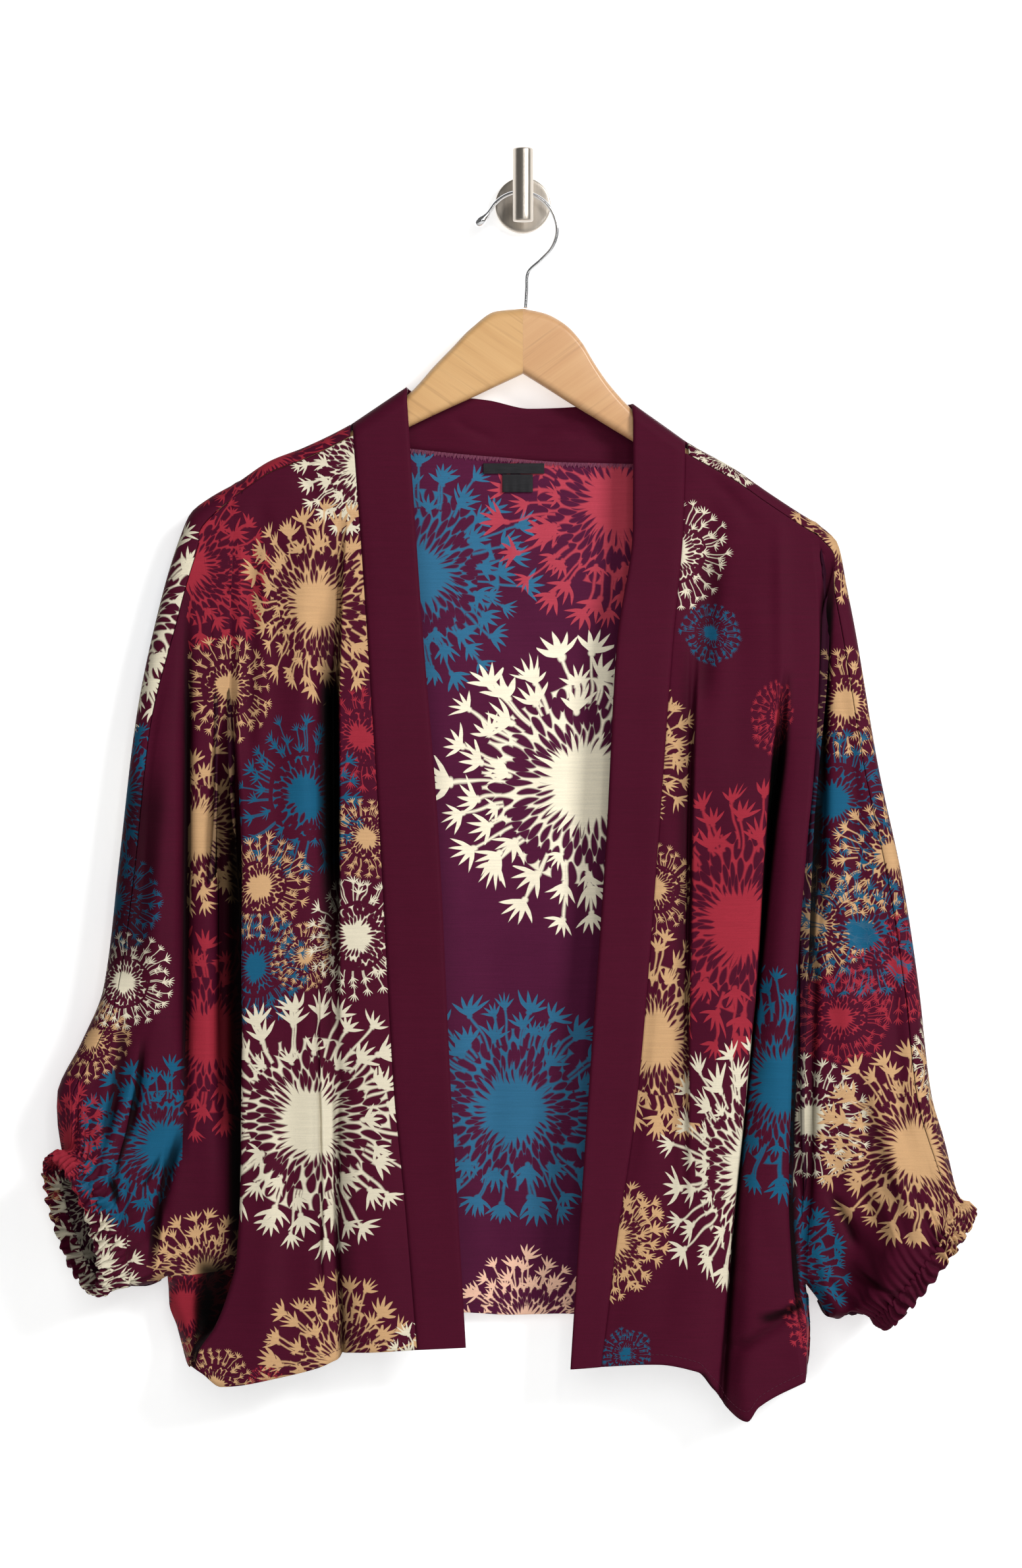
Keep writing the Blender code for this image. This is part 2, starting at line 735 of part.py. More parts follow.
def wall(name, skin, normals, cells, facing, thick, material):
    """A closed wall: the skin, the same skin set in by its thickness, and a rim round each free edge."""
    rows, columns = skin.shape[:2]
    inner = skin - normals * thick
    used = np.zeros((rows, columns), bool)
    for down in (slice(None, -1), slice(1, None)):
        for across in (slice(None, -1), slice(1, None)):
            used[down, across] |= cells
    index = np.full((rows, columns), -1)
    index[used] = np.arange(used.sum())
    count = int(used.sum())
    points = np.concatenate([skin[used], inner[used]]) * MM
    faces = []
    edges = {}
    for i, j in zip(*np.nonzero(cells)):
        quad = [index[i, j], index[i, j + 1], index[i + 1, j + 1], index[i + 1, j]]
        quad = quad if facing > 0 else quad[::-1]
        faces.append(quad)
        faces.append([corner + count for corner in quad[::-1]])
        for a, b in zip(quad, quad[1:] + quad[:1]):
            edges[(a, b)] = True
    for a, b in edges:
        if (b, a) not in edges:
            faces.append([b, a, a + count, b + count])
    return add_mesh(name, points, faces, material)


def add_mesh(name, points, faces, material):
    mesh = bpy.data.meshes.new(name)
    corners = [tuple(map(float, point)) for point in points]
    mesh.from_pydata(corners, [], [list(map(int, face)) for face in faces])
    mesh.validate()
    mesh.shade_smooth()
    mesh.set_sharp_from_angle(angle=SHARP_ANGLE)
    mesh.materials.append(material)
    made = bpy.data.objects.new(name, mesh)
    bpy.context.scene.collection.objects.link(made)
    made.parent = ROOT
    return made


def add_material(name, colour, roughness, metallic=0.0):
    material = bpy.data.materials.new(name)
    material.use_nodes = True
    shader = material.node_tree.nodes["Principled BSDF"]
    shader.inputs["Base Color"].default_value = (*colour, 1.0)
    shader.inputs["Roughness"].default_value = roughness
    shader.inputs["Metallic"].default_value = metallic
    return material


# Rows and columns of the panels
ABOVE = np.array([0, 0.025, 0.06, 0.11, 0.18, *np.linspace(0.26, 0.71, 6), 0.79, 0.87, 0.93, 0.975, 1])
BELOW = np.array([0.12, 0.3, 0.5, 0.75, 1])
BODY = np.linspace(0, 1, 13)
LAP_SHARES = np.array([0, 0.13, 0.27, 0.4, 0.6, 0.73, 0.87, 1])
SLEEVE = np.array([0, 0.06, 0.16, SIDE_SHARE, 0.38, 0.5, 0.62, 0.73, 0.82, 0.9, 0.96, 1])
TURN_ROWS = np.array([-9, -5.5, -1.5, 0, 1.5, 5.5])
NECK_COLUMNS = np.linspace(NECKLINE["x"][0], NECKLINE["x"][-1], 11)
SHOULDER_COLUMNS = 7
LABEL_COLUMNS = 5
LABEL_ROWS = 3
BAND_COLUMNS = 5
SIDE_COLUMN = int(np.argmin(np.abs(SLEEVE - SIDE_SHARE)))
CREST_ROW = int(np.argmax(TURN_ROWS >= 0))


def edge_normals(line, toward):
    """Normals along a line of points, in the plane of the wall and on the side that toward points to."""
    along = np.gradient(line[:, [0, 2]], axis=0)
    across = np.stack([along[:, 1], np.zeros(len(line)), -along[:, 0]], axis=1)
    across *= np.sign(across @ toward)[:, None]
    return across / np.linalg.norm(across, axis=1, keepdims=True)


def seam_normals(side):
    """Normals along the over-arm seam: towards the viewer, then out from the cuff."""
    turn = CUFF[side]["crest"] + SEAM_TURN
    radial = ring(side, turn, 0.0, 1.0) - ring(side, turn, 0.0)
    blend = cuff_blend(SLEEVE, 0.0)[:, None]
    return mix(np.array([0.0, -1.0, 0.0]), radial / np.linalg.norm(radial), blend)


def square_edges(side, skin, normals, columns, under_row):
    """Sets the wall's direction along a sleeve's edges alike on front and back, so the seams stay open."""
    outer = columns[SIDE_COLUMN:]
    lower = edge_normals(skin[under_row, outer], np.array([0.0, 0.0, -1.0]))
    flank = edge_normals(skin[under_row:, outer[0]], np.array([OUTWARD[side], 0.0, 0.0]))
    normals[0, columns] = seam_normals(side)
    normals[under_row, outer] = lower
    normals[under_row:, outer[0]] = flank
    normals[under_row, outer[0]] = lower[0] + flank[0]
    axis = ring_axes(side)[2]
    rim = normals[:, outer[-1]]
    normals[:, outer[-1]] = rim - (rim @ axis)[:, None] * axis
    normals /= np.maximum(np.linalg.norm(normals, axis=2, keepdims=True), 1e-9)


def make_front(side, material):
    skin = front_skin(side, BODY, LAP_SHARES, SLEEVE, ABOVE, BELOW)
    rows, columns = skin.shape[:2]
    sleeve = np.arange(columns - len(SLEEVE), columns)
    under_row = len(ABOVE) - 1
    cells = np.ones((rows - 1, columns - 1), bool)
    cells[under_row:, sleeve[SIDE_COLUMN]:] = False
    facing = -OUTWARD[side]
    normals = skin_normals(skin, cells, facing)
    normals[0] = (0.0, -1.0, 0.0)
    square_edges(side, skin, normals, sleeve, under_row)
    return wall(f"front_{side}", skin, normals, cells, facing, CLOTH, material)


def make_back(material):
    starts = {side: float(lap_line(side, np.array(lap_top(side)))[0]) for side in OUTWARD}
    across = np.concatenate([
        np.linspace(starts["right"], NECK_COLUMNS[0], SHOULDER_COLUMNS)[1:-1],
        NECK_COLUMNS,
        np.linspace(NECK_COLUMNS[-1], starts["left"], SHOULDER_COLUMNS)[1:-1],
    ])
    middle = back_body(across, TURN_ROWS, ABOVE, BELOW)
    sleeves = {side: back_sleeve(side, SLEEVE, TURN_ROWS, ABOVE, BELOW) for side in OUTWARD}
    skin = np.concatenate([sleeves["right"][:, ::-1], middle, sleeves["left"]], axis=1)
    rows, columns = skin.shape[:2]
    right = np.arange(len(SLEEVE))[::-1]
    left = np.arange(columns - len(SLEEVE), columns)
    under_row = len(TURN_ROWS) + len(ABOVE) - 1
    neck_start = len(SLEEVE) + SHOULDER_COLUMNS - 2
    cells = np.ones((rows - 1, columns - 1), bool)
    cells[under_row:, :right[SIDE_COLUMN]] = False
    cells[under_row:, left[SIDE_COLUMN]:] = False
    cells[:len(TURN_ROWS), neck_start:neck_start + len(NECK_COLUMNS) - 1] = False
    normals = skin_normals(skin, cells, 1.0)
    normals[0] = (0.0, -1.0, 0.0)
    square_edges("right", skin, normals, right, under_row)
    square_edges("left", skin, normals, left, under_row)
    return wall("back", skin, normals, cells, 1.0, CLOTH, material)


def make_band(side, material):
    """The doubled band down a front, from the shoulder's crest to the hem, a little proud of the front."""
    columns = []
    for share in np.linspace(0, 1, BAND_COLUMNS):
        def place(z, share=share):
            seam = read(BAND[side], "z", "seam", z) - OUTWARD[side] * SEAM_GAP / 2
            return mix(read(BAND[side], "z", "edge", z), seam, share)

        z_top = top_height(side, place)
        z_hem = read(HEM[side], "x", "z", place(HEM_NEAR_Z))
        turn = np.append(SEAM_GAP, TURN_ROWS[CREST_ROW + 1:])
        down = np.concatenate([turn, mix(SHOULDER_ROUND, z_top - z_hem, ABOVE)])
        z = z_top - down
        x = place(z)
        y = front_depth(side, x, z, 0.0) - BAND_PROUD
        middle = (SHOULDER_FRONT_Y + BACK_Y) / 2
        columns.append(np.stack([x, mix(middle, y, rounded(down, SHOULDER_ROUND)), z], axis=1))
    skin = np.stack(columns, axis=1)
    cells = np.ones((skin.shape[0] - 1, skin.shape[1] - 1), bool)
    facing = -OUTWARD[side]
    normals = skin_normals(skin, cells, facing)
    normals[0, :, 1] = 0.0
    normals /= np.linalg.norm(normals, axis=2, keepdims=True)
    return wall(f"band_{side}", skin, normals, cells, facing, BAND_CLOTH, material)


def make_neck_band(material):
    """The length of band round the back neck: over each shoulder's crest, then behind the hanger."""
    back = back_body(NECK_COLUMNS, TURN_ROWS, ABOVE, BELOW)
    neck_row = len(TURN_ROWS)
    aside = np.array([SEAM_GAP, 0.0, 0.0])
    above = np.array([0.0, 0.0, SEAM_GAP])
    seam = np.concatenate([
        back[CREST_ROW:neck_row, 0] + aside,
        back[neck_row, :1] + aside + above,
        back[neck_row, 1:-1] + above,
        back[neck_row, -1:] - aside + above,
        back[CREST_ROW:neck_row, -1][::-1] - aside,
    ])
    edge = np.stack([read(NECK_EDGE, "seam", name, seam[:, 0]) for name in ("x", "y", "z")], axis=1)
    crest_y = (SHOULDER_FRONT_Y + BACK_Y) / 2
    turns = neck_row - CREST_ROW
    for k in range(turns):
        for at, side in ((k, "right"), (len(seam) - 1 - k, "left")):
            crest = np.array([NECK_CREST[side][0], crest_y, NECK_CREST[side][1]])
            edge[at] = mix(crest, edge[at], np.array([1.0, 0.0, 1.0]) * k / turns)
            edge[at, 1] = min(seam[at, 1], NECK_EDGE["y"][0])
    seam[[0, -1], 1] += SEAM_GAP
    edge[[0, -1], 1] += SEAM_GAP
    rows = np.linspace(0, 1, BAND_COLUMNS)
    skin = np.stack([mix(edge, seam, row) for row in rows], axis=0)
    cells = np.ones((len(rows) - 1, len(seam) - 1), bool)
    normals = skin_normals(skin, cells, 1.0)
    return wall("band_neck", skin, normals, cells, 1.0, BAND_CLOTH, material)


def make_cuff(side, material):
    """A casing gathered on its elastic: a band round the rim whose skin rises and falls in even gathers."""
    count = GATHERS * GATHER_SAMPLES
    angle = np.linspace(0, 360, count, endpoint=False)
    wave = np.cos(np.radians(angle) * GATHERS)
    size = len(CASING["wave"])
    points = []
    for k in range(size):
        proud = CASING["proud"][k] + GATHER_DEPTH * CASING["wave"][k] * wave
        points.append(ring(side, angle, np.full(count, CASING["inwards"][k]), proud))
    points = np.stack(points, axis=1).reshape(-1, 3) * MM
    faces = []
    for i in range(count):
        for k in range(size):
            a = i * size + k
            b = i * size + (k + 1) % size
            c = ((i + 1) % count) * size + (k + 1) % size
            d = ((i + 1) % count) * size + k
            faces.append([d, c, b, a] if side == "left" else [a, b, c, d])
    return add_mesh(f"cuff_{side}", points, faces, material)


def make_label(name, material):
    """A plain label on the back's inside, made from the back's own points moved out."""
    label = LABELS[name]
    across = np.linspace(label["left"], label["right"], LABEL_COLUMNS)
    x, z = np.meshgrid(across, np.linspace(label["top"], label["bottom"], LABEL_ROWS))
    y = back_depth(x, z) - CLOTH - SEAM_GAP - LABEL_CLOTH
    skin = np.stack([x, y, z], axis=2)
    cells = np.ones((LABEL_ROWS - 1, LABEL_COLUMNS - 1), bool)
    normals = np.broadcast_to([0.0, -1.0, 0.0], skin.shape)
    return wall(name, skin, normals, cells, -1.0, LABEL_CLOTH, material)


def make_arm(side, material):
    """A flat wooden arm with rounded edges, carried out under the shoulder to its round end."""
    out = OUTWARD[side]
    rows = ARM[side]
    under = np.linspace(ARM_SHOULDER_START[side], ARM_END[side] - ARM_TIP_LONG, ARM_SECTIONS) * out
    drop = CLOTH + ARM_CLEAR
    slope = np.hypot(1.0, np.gradient(shoulder_height(side, under), under))
    x = np.concatenate([rows["x"], under])
    x[0] = out * SEAM_GAP / 2
    top = np.concatenate([rows["top"], shoulder_height(side, under) - drop * slope])
    low = rows["bottom"][-1] - ARM_SLOPE[side] * np.abs(under - rows["x"][-1])
    bottom = np.concatenate([rows["bottom"], low])
    for k in range(len(ARM_TIP["reach"])):
        x = np.append(x, out * (ARM_END[side] - ARM_TIP_LONG * (1 - ARM_TIP["reach"][k])))
        top = np.append(top, top[-1] - ARM_TIP["top_cut"][k])
        bottom = np.append(bottom, bottom[-1] + ARM_TIP["bottom_cut"][k])
    corner = np.radians(ARM_CORNER)
    half = ARM_THICK / 2 - ARM_ROUND
    sections = []
    for i in range(len(x)):
        fit = min(ARM_ROUND, (top[i] - bottom[i]) / 2 - SEAM_GAP)
        across = half + ARM_ROUND * np.cos(corner)
        across = np.concatenate([across, -across[::-1]])
        up = np.concatenate([np.sin(corner), np.sin(corner[::-1])]) * fit
        ring_y = np.concatenate([across, across[::-1]]) + ARM_Y
        ring_z = np.concatenate([top[i] - fit + up, bottom[i] + fit - up[::-1]])
        sections.append(np.stack([np.full(len(ring_y), x[i]), ring_y, ring_z], axis=1))
    size = len(sections[0])
    faces = [list(range(size)), [size * (len(x) - 1) + k for k in range(size)][::-1]]
    for i in range(len(x) - 1):
        for k in range(size):
            a = i * size + k
            b = i * size + (k + 1) % size
            faces.append([a, a + size, b + size, b])
    if side == "left":
        faces = [face[::-1] for face in faces]
    return add_mesh(f"hanger_arm_{side}", np.concatenate(sections) * MM, faces, material)


def make_hook(material):
    """The hanger's wire hook, thickened to a drop at its free end."""
    line = by_length(HOOK_ROUTE["x"], HOOK_ROUTE["z"])
    at = np.linspace(0, line["length"][-1], HOOK_POINTS)
    thick = read(dict(length=line["length"], thick=HOOK_ROUTE["thick"]), "length", "thick", at)
    curve = bpy.data.curves.new("hanger_hook", "CURVE")
    curve.dimensions = "3D"
    curve.bevel_depth = WIRE_RADIUS * MM
    curve.bevel_resolution = WIRE_SIDES
    curve.use_fill_caps = True
    spline = curve.splines.new("POLY")
    spline.points.add(HOOK_POINTS - 1)
    x = round_corners(line, "x", at)
    z = round_corners(line, "z", at)
    for i, point in enumerate(spline.points):
        point.co = (x[i] * MM, ARM_Y * MM, z[i] * MM, 1.0)
        point.radius = thick[i]
    curve.materials.append(material)
    made = bpy.data.objects.new("hanger_hook", curve)
    bpy.context.scene.collection.objects.link(made)
    made.parent = ROOT
    return made


def round_corners(line, name, at):
    """A line's column read on a smooth curve through its rows."""
    knots = line["length"]
    slopes = np.gradient(line[name], knots)
    i = np.clip(np.searchsorted(knots, at, side="right") - 1, 0, len(knots) - 2)
    gap = knots[i + 1] - knots[i]
    t = (at - knots[i]) / gap
    start = line[name][i] * (1 + 2 * t) * (1 - t) ** 2 + slopes[i] * gap * t * (1 - t) ** 2
    end = line[name][i + 1] * t * t * (3 - 2 * t) + slopes[i + 1] * gap * t * t * (t - 1)
    return start + end


def make_turned(name, profile, sides, turn, place, material):
    """A turned piece from its radius and height rows, then turned and placed."""
    points = []
    for i in range(sides):
        angle = 2 * math.pi * i / sides
        for radius, height in profile:
            points.append((radius * math.cos(angle), radius * math.sin(angle), height))
    size = len(profile)
    faces = [[i * size for i in range(sides)][::-1], [i * size + size - 1 for i in range(sides)]]
    for i in range(sides):
        for k in range(size - 1):
            a = i * size + k
            b = ((i + 1) % sides) * size + k
            faces.append([a, b, b + 1, a + 1])
    made = add_mesh(name, np.array(points) * MM, faces, material)
    made.rotation_euler = turn
    made.location = tuple(value * MM for value in place)
    return made


def make_wall_hook(material):
    to_viewer = (math.radians(90), 0, 0)
    e = EDGE_ROUND
    f = EDGE_ROUND * (1 - math.sqrt(0.5))
    rose = [
        (ROSE_RADIUS, 0),
        (ROSE_RADIUS, ROSE_THICK - e),
        (ROSE_RADIUS - f, ROSE_THICK - f),
        (ROSE_RADIUS - e, ROSE_THICK),
    ]
    make_turned("wall_rose", rose, ROSE_SIDES, to_viewer, (0, 0, 0), material)
    reach = -PEG_Y - PEG_RADIUS - SEAM_GAP
    stem = [(STEM_RADIUS, ROSE_THICK + SEAM_GAP), (STEM_RADIUS, reach)]
    make_turned("wall_stem", stem, PEG_SIDES, to_viewer, (0, 0, 0), material)
    peg = [
        (PEG_RADIUS - e, PEG_BOTTOM),
        (PEG_RADIUS - f, PEG_BOTTOM + f),
        (PEG_RADIUS, PEG_BOTTOM + e),
        (PEG_RADIUS, PEG_TOP - e),
        (PEG_RADIUS - f, PEG_TOP - f),
        (PEG_RADIUS - e, PEG_TOP),
    ]
    make_turned("wall_peg", peg, PEG_SIDES, (0, 0, 0), (0, PEG_Y, 0), material)


for old in list(bpy.data.objects):
    bpy.data.objects.remove(old, do_unlink=True)

ROOT = bpy.data.objects.new("jacket_on_hanger", None)
bpy.context.scene.collection.objects.link(ROOT)

crepe = add_material("printed_crepe", (0.075, 0.008, 0.022), 0.6)
tape = add_material("label_tape", (0.01, 0.01, 0.011), 0.7)
wood = add_material("hanger_wood", (0.62, 0.38, 0.17), 0.45)
chrome = add_material("chrome_wire", (0.8, 0.8, 0.8), 0.12, 1.0)
nickel = add_material("brushed_nickel", (0.55, 0.5, 0.43), 0.28, 1.0)

for wearer_side in OUTWARD:
    make_front(wearer_side, crepe)
    make_band(wearer_side, crepe)
    make_cuff(wearer_side, crepe)
    make_arm(wearer_side, wood)
make_back(crepe)
make_neck_band(crepe)
for label_name in LABELS:
    make_label(label_name, tape)
make_hook(chrome)
make_wall_hook(nickel)
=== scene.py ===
"""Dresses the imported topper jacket: printed crepe with folds and gathers, hanger, hook, light and camera.

The frame is the part's own: the origin is the middle of the hook's rose on the wall, +X runs to the
viewer's right, +Y into the wall and +Z up. Right and left are the wearer's. The tables are in millimetres.
"""

import math

import bpy
import numpy as np
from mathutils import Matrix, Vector


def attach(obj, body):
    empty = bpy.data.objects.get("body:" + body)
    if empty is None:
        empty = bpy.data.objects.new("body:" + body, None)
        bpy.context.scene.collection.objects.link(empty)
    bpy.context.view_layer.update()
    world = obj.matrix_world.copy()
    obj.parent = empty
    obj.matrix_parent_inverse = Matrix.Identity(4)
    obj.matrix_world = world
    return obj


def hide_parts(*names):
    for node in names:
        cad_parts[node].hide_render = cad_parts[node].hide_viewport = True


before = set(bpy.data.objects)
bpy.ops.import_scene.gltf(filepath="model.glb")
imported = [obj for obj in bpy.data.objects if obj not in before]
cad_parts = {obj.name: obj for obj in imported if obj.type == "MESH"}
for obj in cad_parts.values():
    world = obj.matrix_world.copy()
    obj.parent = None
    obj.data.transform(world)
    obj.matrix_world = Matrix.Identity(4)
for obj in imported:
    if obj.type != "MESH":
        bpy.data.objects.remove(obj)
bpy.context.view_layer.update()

MM = 0.001
SHARP_ANGLE = math.radians(50)

# Cloth and seams
CLOTH = 1.2
BAND_PROUD = 0.8
SEAM_GAP = 0.3
OVER_ARM_OPEN = 0.3
TURN_EVEN = -5.5
LABEL_CLOTH = 1.0
LABEL_SHOWN = 0.7
LABEL_COLUMNS = 60
LABEL_ROWS = 24
LABEL_BULGE = 0.5
LABEL_RIPPLE = 0.2

# Depths from the wall, as y
BACK_Y = -10.0
SHOULDER_FRONT_Y = -33.0
FLANK_Y = -25.0
SLEEVE_SINK = 10.0
SLEEVE_SWELL = 18.0

# Rounding of the edges where front turns into back
SHOULDER_ROUND = 11.0
UNDERARM_ROUND = 9.0
FOLD_RADIUS = 4.0
LAP_BEND = 0.4

# Sleeve layout: the share of the sleeve where the side seam starts, and where the cuff's shape takes over
SIDE_SHARE = 0.27
CUFF_BLEND = 0.70
CREST_BLEND = 0.90
CREST_SHARE = 0.45
SEAM_TURN = 25.0
SEAM_OPEN = 0.35
CUFF_REACH = 120.0
CUFF_PUFF = 5.0
PUFF_SHARE = 0.15
COLUMN_LEAD = 42.0
LOWER_LEAD = 0.35
LEAD_SHARE = 0.12
COLUMN_POINTS = 81
LAP_FADE = 0.35
FLANK_START = 7.0
FLANK_RUN = 10.0

# Cuff casings: their gathers, and the points round each and across it
CASING_WIDTH = 13.0
RUFFLES = 52
RUFFLE_DEPTH = 1.9
CUFF_LEAN = 3.0
CUFF_UNEVEN = 1.6
CUFF_CRUMPLE = 0.35
CUFF_DRAW = 1.1
CUFF_SAMPLES = 800
CUFF_SECTION = 26
# Painted shade on the casings: least light between gathers, the rise of the gathers over which it fades out,
# and extra shade on the inner face
CUFF_LIGHT = dict(least=0.66, low=-1.1, high=0.4, inner=0.1)
FAR_SIDE = -0.2

# Hanger and hook
ARM_THICK = 14.0
ARM_Y = -22.0
ARM_ROUND = 6.5
ARM_CLEAR = 0.9
WIRE_RADIUS = 1.4
STEM_RADIUS = 5.0
COLLAR_RADIUS = 6.4
COLLAR_LONG = 1.6
COLLAR_END = 2.4
ROSE_RADIUS = 19.5
ROSE_THICK = 6.0
PEG_RADIUS = 7.1
PEG_Y = -45.0
PEG_TOP = 34.3
PEG_BOTTOM = -16.5
EDGE_ROUND = 1.2
EDGE_STEPS = 6
AXIS_RADIUS = 0.3
ARM_POINTS = 90
ARM_TIP_POINTS = 12
ARM_CORNER_POINTS = 9
ARM_TIP_ROUND = 0.85
WIRE_POINTS = 190
WIRE_SIDES = 20

# Where the shoulder outline ends, first guesses of heights, the rounds that settle them, and a far distance
SHOULDER_END_Z = -245.0
SHOULDER_NEAR_Z = -180.0
HEM_NEAR_Z = -810.0
SETTLE_ROUNDS = 6
FAR = 1000.0

# Distances over which creases fade out: at the shoulder, the band, the edges, the cuff, and the back's own
FADE = dict(shoulder=14.0, band=9.0, edge=12.0, cuff=25.0, crest=30.0, neck=(5.0, 45.0))
CREASE_END = 0.3
LAP_STIFF = 60.0
NECK_FLAT = 12.0

# Gathers on the sleeves: their run up the sleeve, height, and the broad ripples above them
GATHER_RUN = (10, 4, 3)
GATHER_HEIGHT = 1.9
RIPPLE = dict(height=2.2, start=30.0, fade=38.0)

# Painted shade in folds: the depth where the light starts to fall, how fast, and its share between gathers
# and on the wrong side inside sleeves
SHADE_START = 2.0
SHADE_DEPTH = 7.0
SHADE_END = 0.25
GATHER_SHADE = 0.5
SLEEVE_INSIDE_SHADE = 0.3

# The print: layers that may overlap, and the forms of a seed head for the coarse and the fine kind
LAYERS = 3
BLOOM_REACH = 1.12
NOWHERE = 9.0
EDGE_SOFT = 0.012
SWAY = 0.17
SWAY_SCALE = 2.6
CORE = dict(number=(31, 27), radius=(0.205, 0.12), spike=(0.17, 0.12))
NET = dict(
    number=(39, 29), width=(0.0078, 0.006), reach=(0.66, 0.46),
    rings=(0.28, 0.39, 0.50, 0.61), half=0.08, uneven=0.09,
)
STEM = (0.0088, 0.0072)
STEM_START = 0.52
RINGS = (
    ((14, 14), 0.46, 0.64, (0.145, 0.115)),
    ((20, 20), 0.62, 0.79, (0.155, 0.12)),
    ((23, 25), 0.77, 0.91, (0.155, 0.12)),
)
TUFT_SOLID = (0.46, 0.36)
FINGER_RATE = 7.2
FINGER_SPAN = 1.12

# Stitches and stage
HEM_TURN = 7.0
STITCH_PITCH = 3.3
STITCH_LONG = 2.3
STITCH_RADIUS = 0.22
STITCH_LIFT = 0.05
SPINDLE = ((0.0, 0.35), (0.18, 0.9), (0.5, 1.0), (0.82, 0.9), (1.0, 0.35))
SPINDLE_LIFT = 0.6
OVERLOCK_PITCH = 0.85
OVERLOCK_X = (-94.6, 95.8)
OVERLOCK_LONG = 3.4
OVERLOCK_RADIUS = 0.3
WALL_Y = 0.0015
FLOOR_Z = -1.1
JACKET_MIDDLE = (0.0, 0.0, -0.45)
SKY_STRENGTH = 0.14
CAMERA_LENS = 104.3

OUTWARD = {"right": -1.0, "left": 1.0}


def table(names, *rows):
    """A short table whose columns are reached by name."""
    return dict(zip(names.split(), np.array(rows, float).T))


# Outline of the shoulder and over-arm, neck to cuff, with the seam's distance in from it on the front
OVER_ARM = {
    "right": table(
        "x z seam", (-81.5, -129.4, 9), (-120.6, -155.6, 9), (-153.3, -171.7, 9), (-177.0, -181.0, 9),
        (-201.8, -197.4, 10), (-219.0, -206.8, 14), (-232.5, -217.5, 17), (-237.6, -228.0, 19),
        (-252.2, -273.8, 20), (-270.6, -360.7, 14), (-282.1, -457.8, 15), (-293.1, -549.8, 12),
        (-307.8, -586.6, 12), (-325.0, -623.4, 12), (-327.5, -646.0, 12),
    ),
    "left": table(
        "x z seam", (73.5, -138.6, 9), (115.8, -168.5, 9), (148.5, -186.9, 9), (170.1, -202.0, 9),
        (191.7, -216.3, 9), (211.5, -229.2, 10), (220.3, -238.8, 11), (226.7, -269.2, 12),
        (233.1, -301.9, 12), (248.3, -393.0, 12), (265.8, -476.2, 12), (276.8, -549.8, 12),
        (285.1, -623.4, 12), (296.6, -665.0, 12),
    ),
}

# Band down each front: its seam to the front, and its free edge
BAND = {
    "right": table(
        "z seam edge", (-130, -121.0, -81.5), (-291, -109.5, -70.6), (-442, -99.8, -58.7),
        (-620, -89.8, -50.0), (-700, -82.0, -45.3), (-800, -73.5, -39.5),
    ),
    "left": table(
        "z seam edge", (-140, 114.0, 76.8), (-227, 112.0, 76.6), (-309, 104.5, 65.3), (-443, 94.6, 58.0),
        (-620, 80.0, 45.6), (-727, 65.0, 38.3), (-812, 54.3, 32.8),
    ),
}

# Fold where each front's body laps over the sleeve: its edge, how far it turns and how far it runs back
LAP = {
    "right": table(
        "z edge turn run", (-205, -200, 0, 5), (-300, -200, 30, 5), (-400, -200, 85, 6),
        (-500, -200, 125, 8), (-735, -201, 140, 10), (-760, -205, 130, 9), (-783, -214, 95, 6),
        (-800, -226, 50, 4), (-810, -229, 25, 3),
    ),
    "left": table(
        "z edge turn run", (-232, 204, 0, 5), (-285, 208, 50, 5), (-400, 203, 100, 6),
        (-500, 197, 115, 7), (-700, 190, 125, 8), (-757, 191, 110, 6), (-785, 192, 60, 3),
        (-818, 195, 15, 2),
    ),
}

# Front hems from the band to the side seam, and the back hem
HEM = {
    "right": table(
        "x z", (-39, -798), (-107, -801), (-127, -802), (-132, -806), (-166, -817), (-209, -824),
        (-222, -815), (-237.5, -805),
    ),
    "left": table(
        "x z", (33, -813), (94, -809), (119, -814), (129, -826), (155, -848), (163, -838), (199, -819),
    ),
}
BACK_HEM = table(
    "x z", (-237.5, -805), (-150, -793), (-39, -778), (3, -780), (37, -779), (130, -796), (199, -819),
)

# Lower edge of each sleeve from the underarm point, and the side seam below that point
UNDERARM = {
    "right": table("x z", (-248.6, -751.0), (-264.0, -757.5)),
    "left": table("x z", (197.7, -756.5), (205.5, -766.7), (213.8, -779.5), (227.0, -781.5)),
}
SIDE_SEAM = {
    "right": table("x z", (-248.6, -751.0), (-248.0, -769.0), (-242.4, -787.0), (-237.5, -805.0)),
    "left": table("x z", (197.7, -756.5), (200.6, -788.0), (199.0, -819.0)),
}
UNDERARM_Z = {"right": -744.0, "left": -756.5}

# Rim of each cuff: its middle, half sizes, lean of its tall axis and turn of its mouth towards the viewer
CUFF = {
    "right": dict(x=-314.0, y=-50.0, z=-713.5, tall=49.0, deep=40.0, lean=-16.5, facing=25.0, crest=-30.0),
    "left": dict(x=282.0, y=-55.0, z=-744.4, tall=50.5, deep=36.0, lean=37.7, facing=-3.0, crest=0.0),
}

# Section of a cuff's casing: inwards from its rim, out from the ring, and its share of the gathers' depth
CASING = table(
    "inwards proud wave", (CASING_WIDTH, 0.0, 0.6), (CASING_WIDTH / 2, 1.6, 1.0), (0.8, 0.6, 1.0),
    (0.0, -1.2, 0.7), (0.8, -2.6, 0.6), (CASING_WIDTH / 2, -2.2, 0.5), (CASING_WIDTH, -1.8, 0.3),
)

# Depth of each front across its body, from the band to the lap
FRONT_DEPTH = table(
    "z band middle lap", (-130, -33, -33, -33), (-240, -34, -35, -34), (-350, -39, -43, -41),
    (-500, -44, -51, -52), (-740, -50, -58, -58), (-850, -53, -62, -60),
)

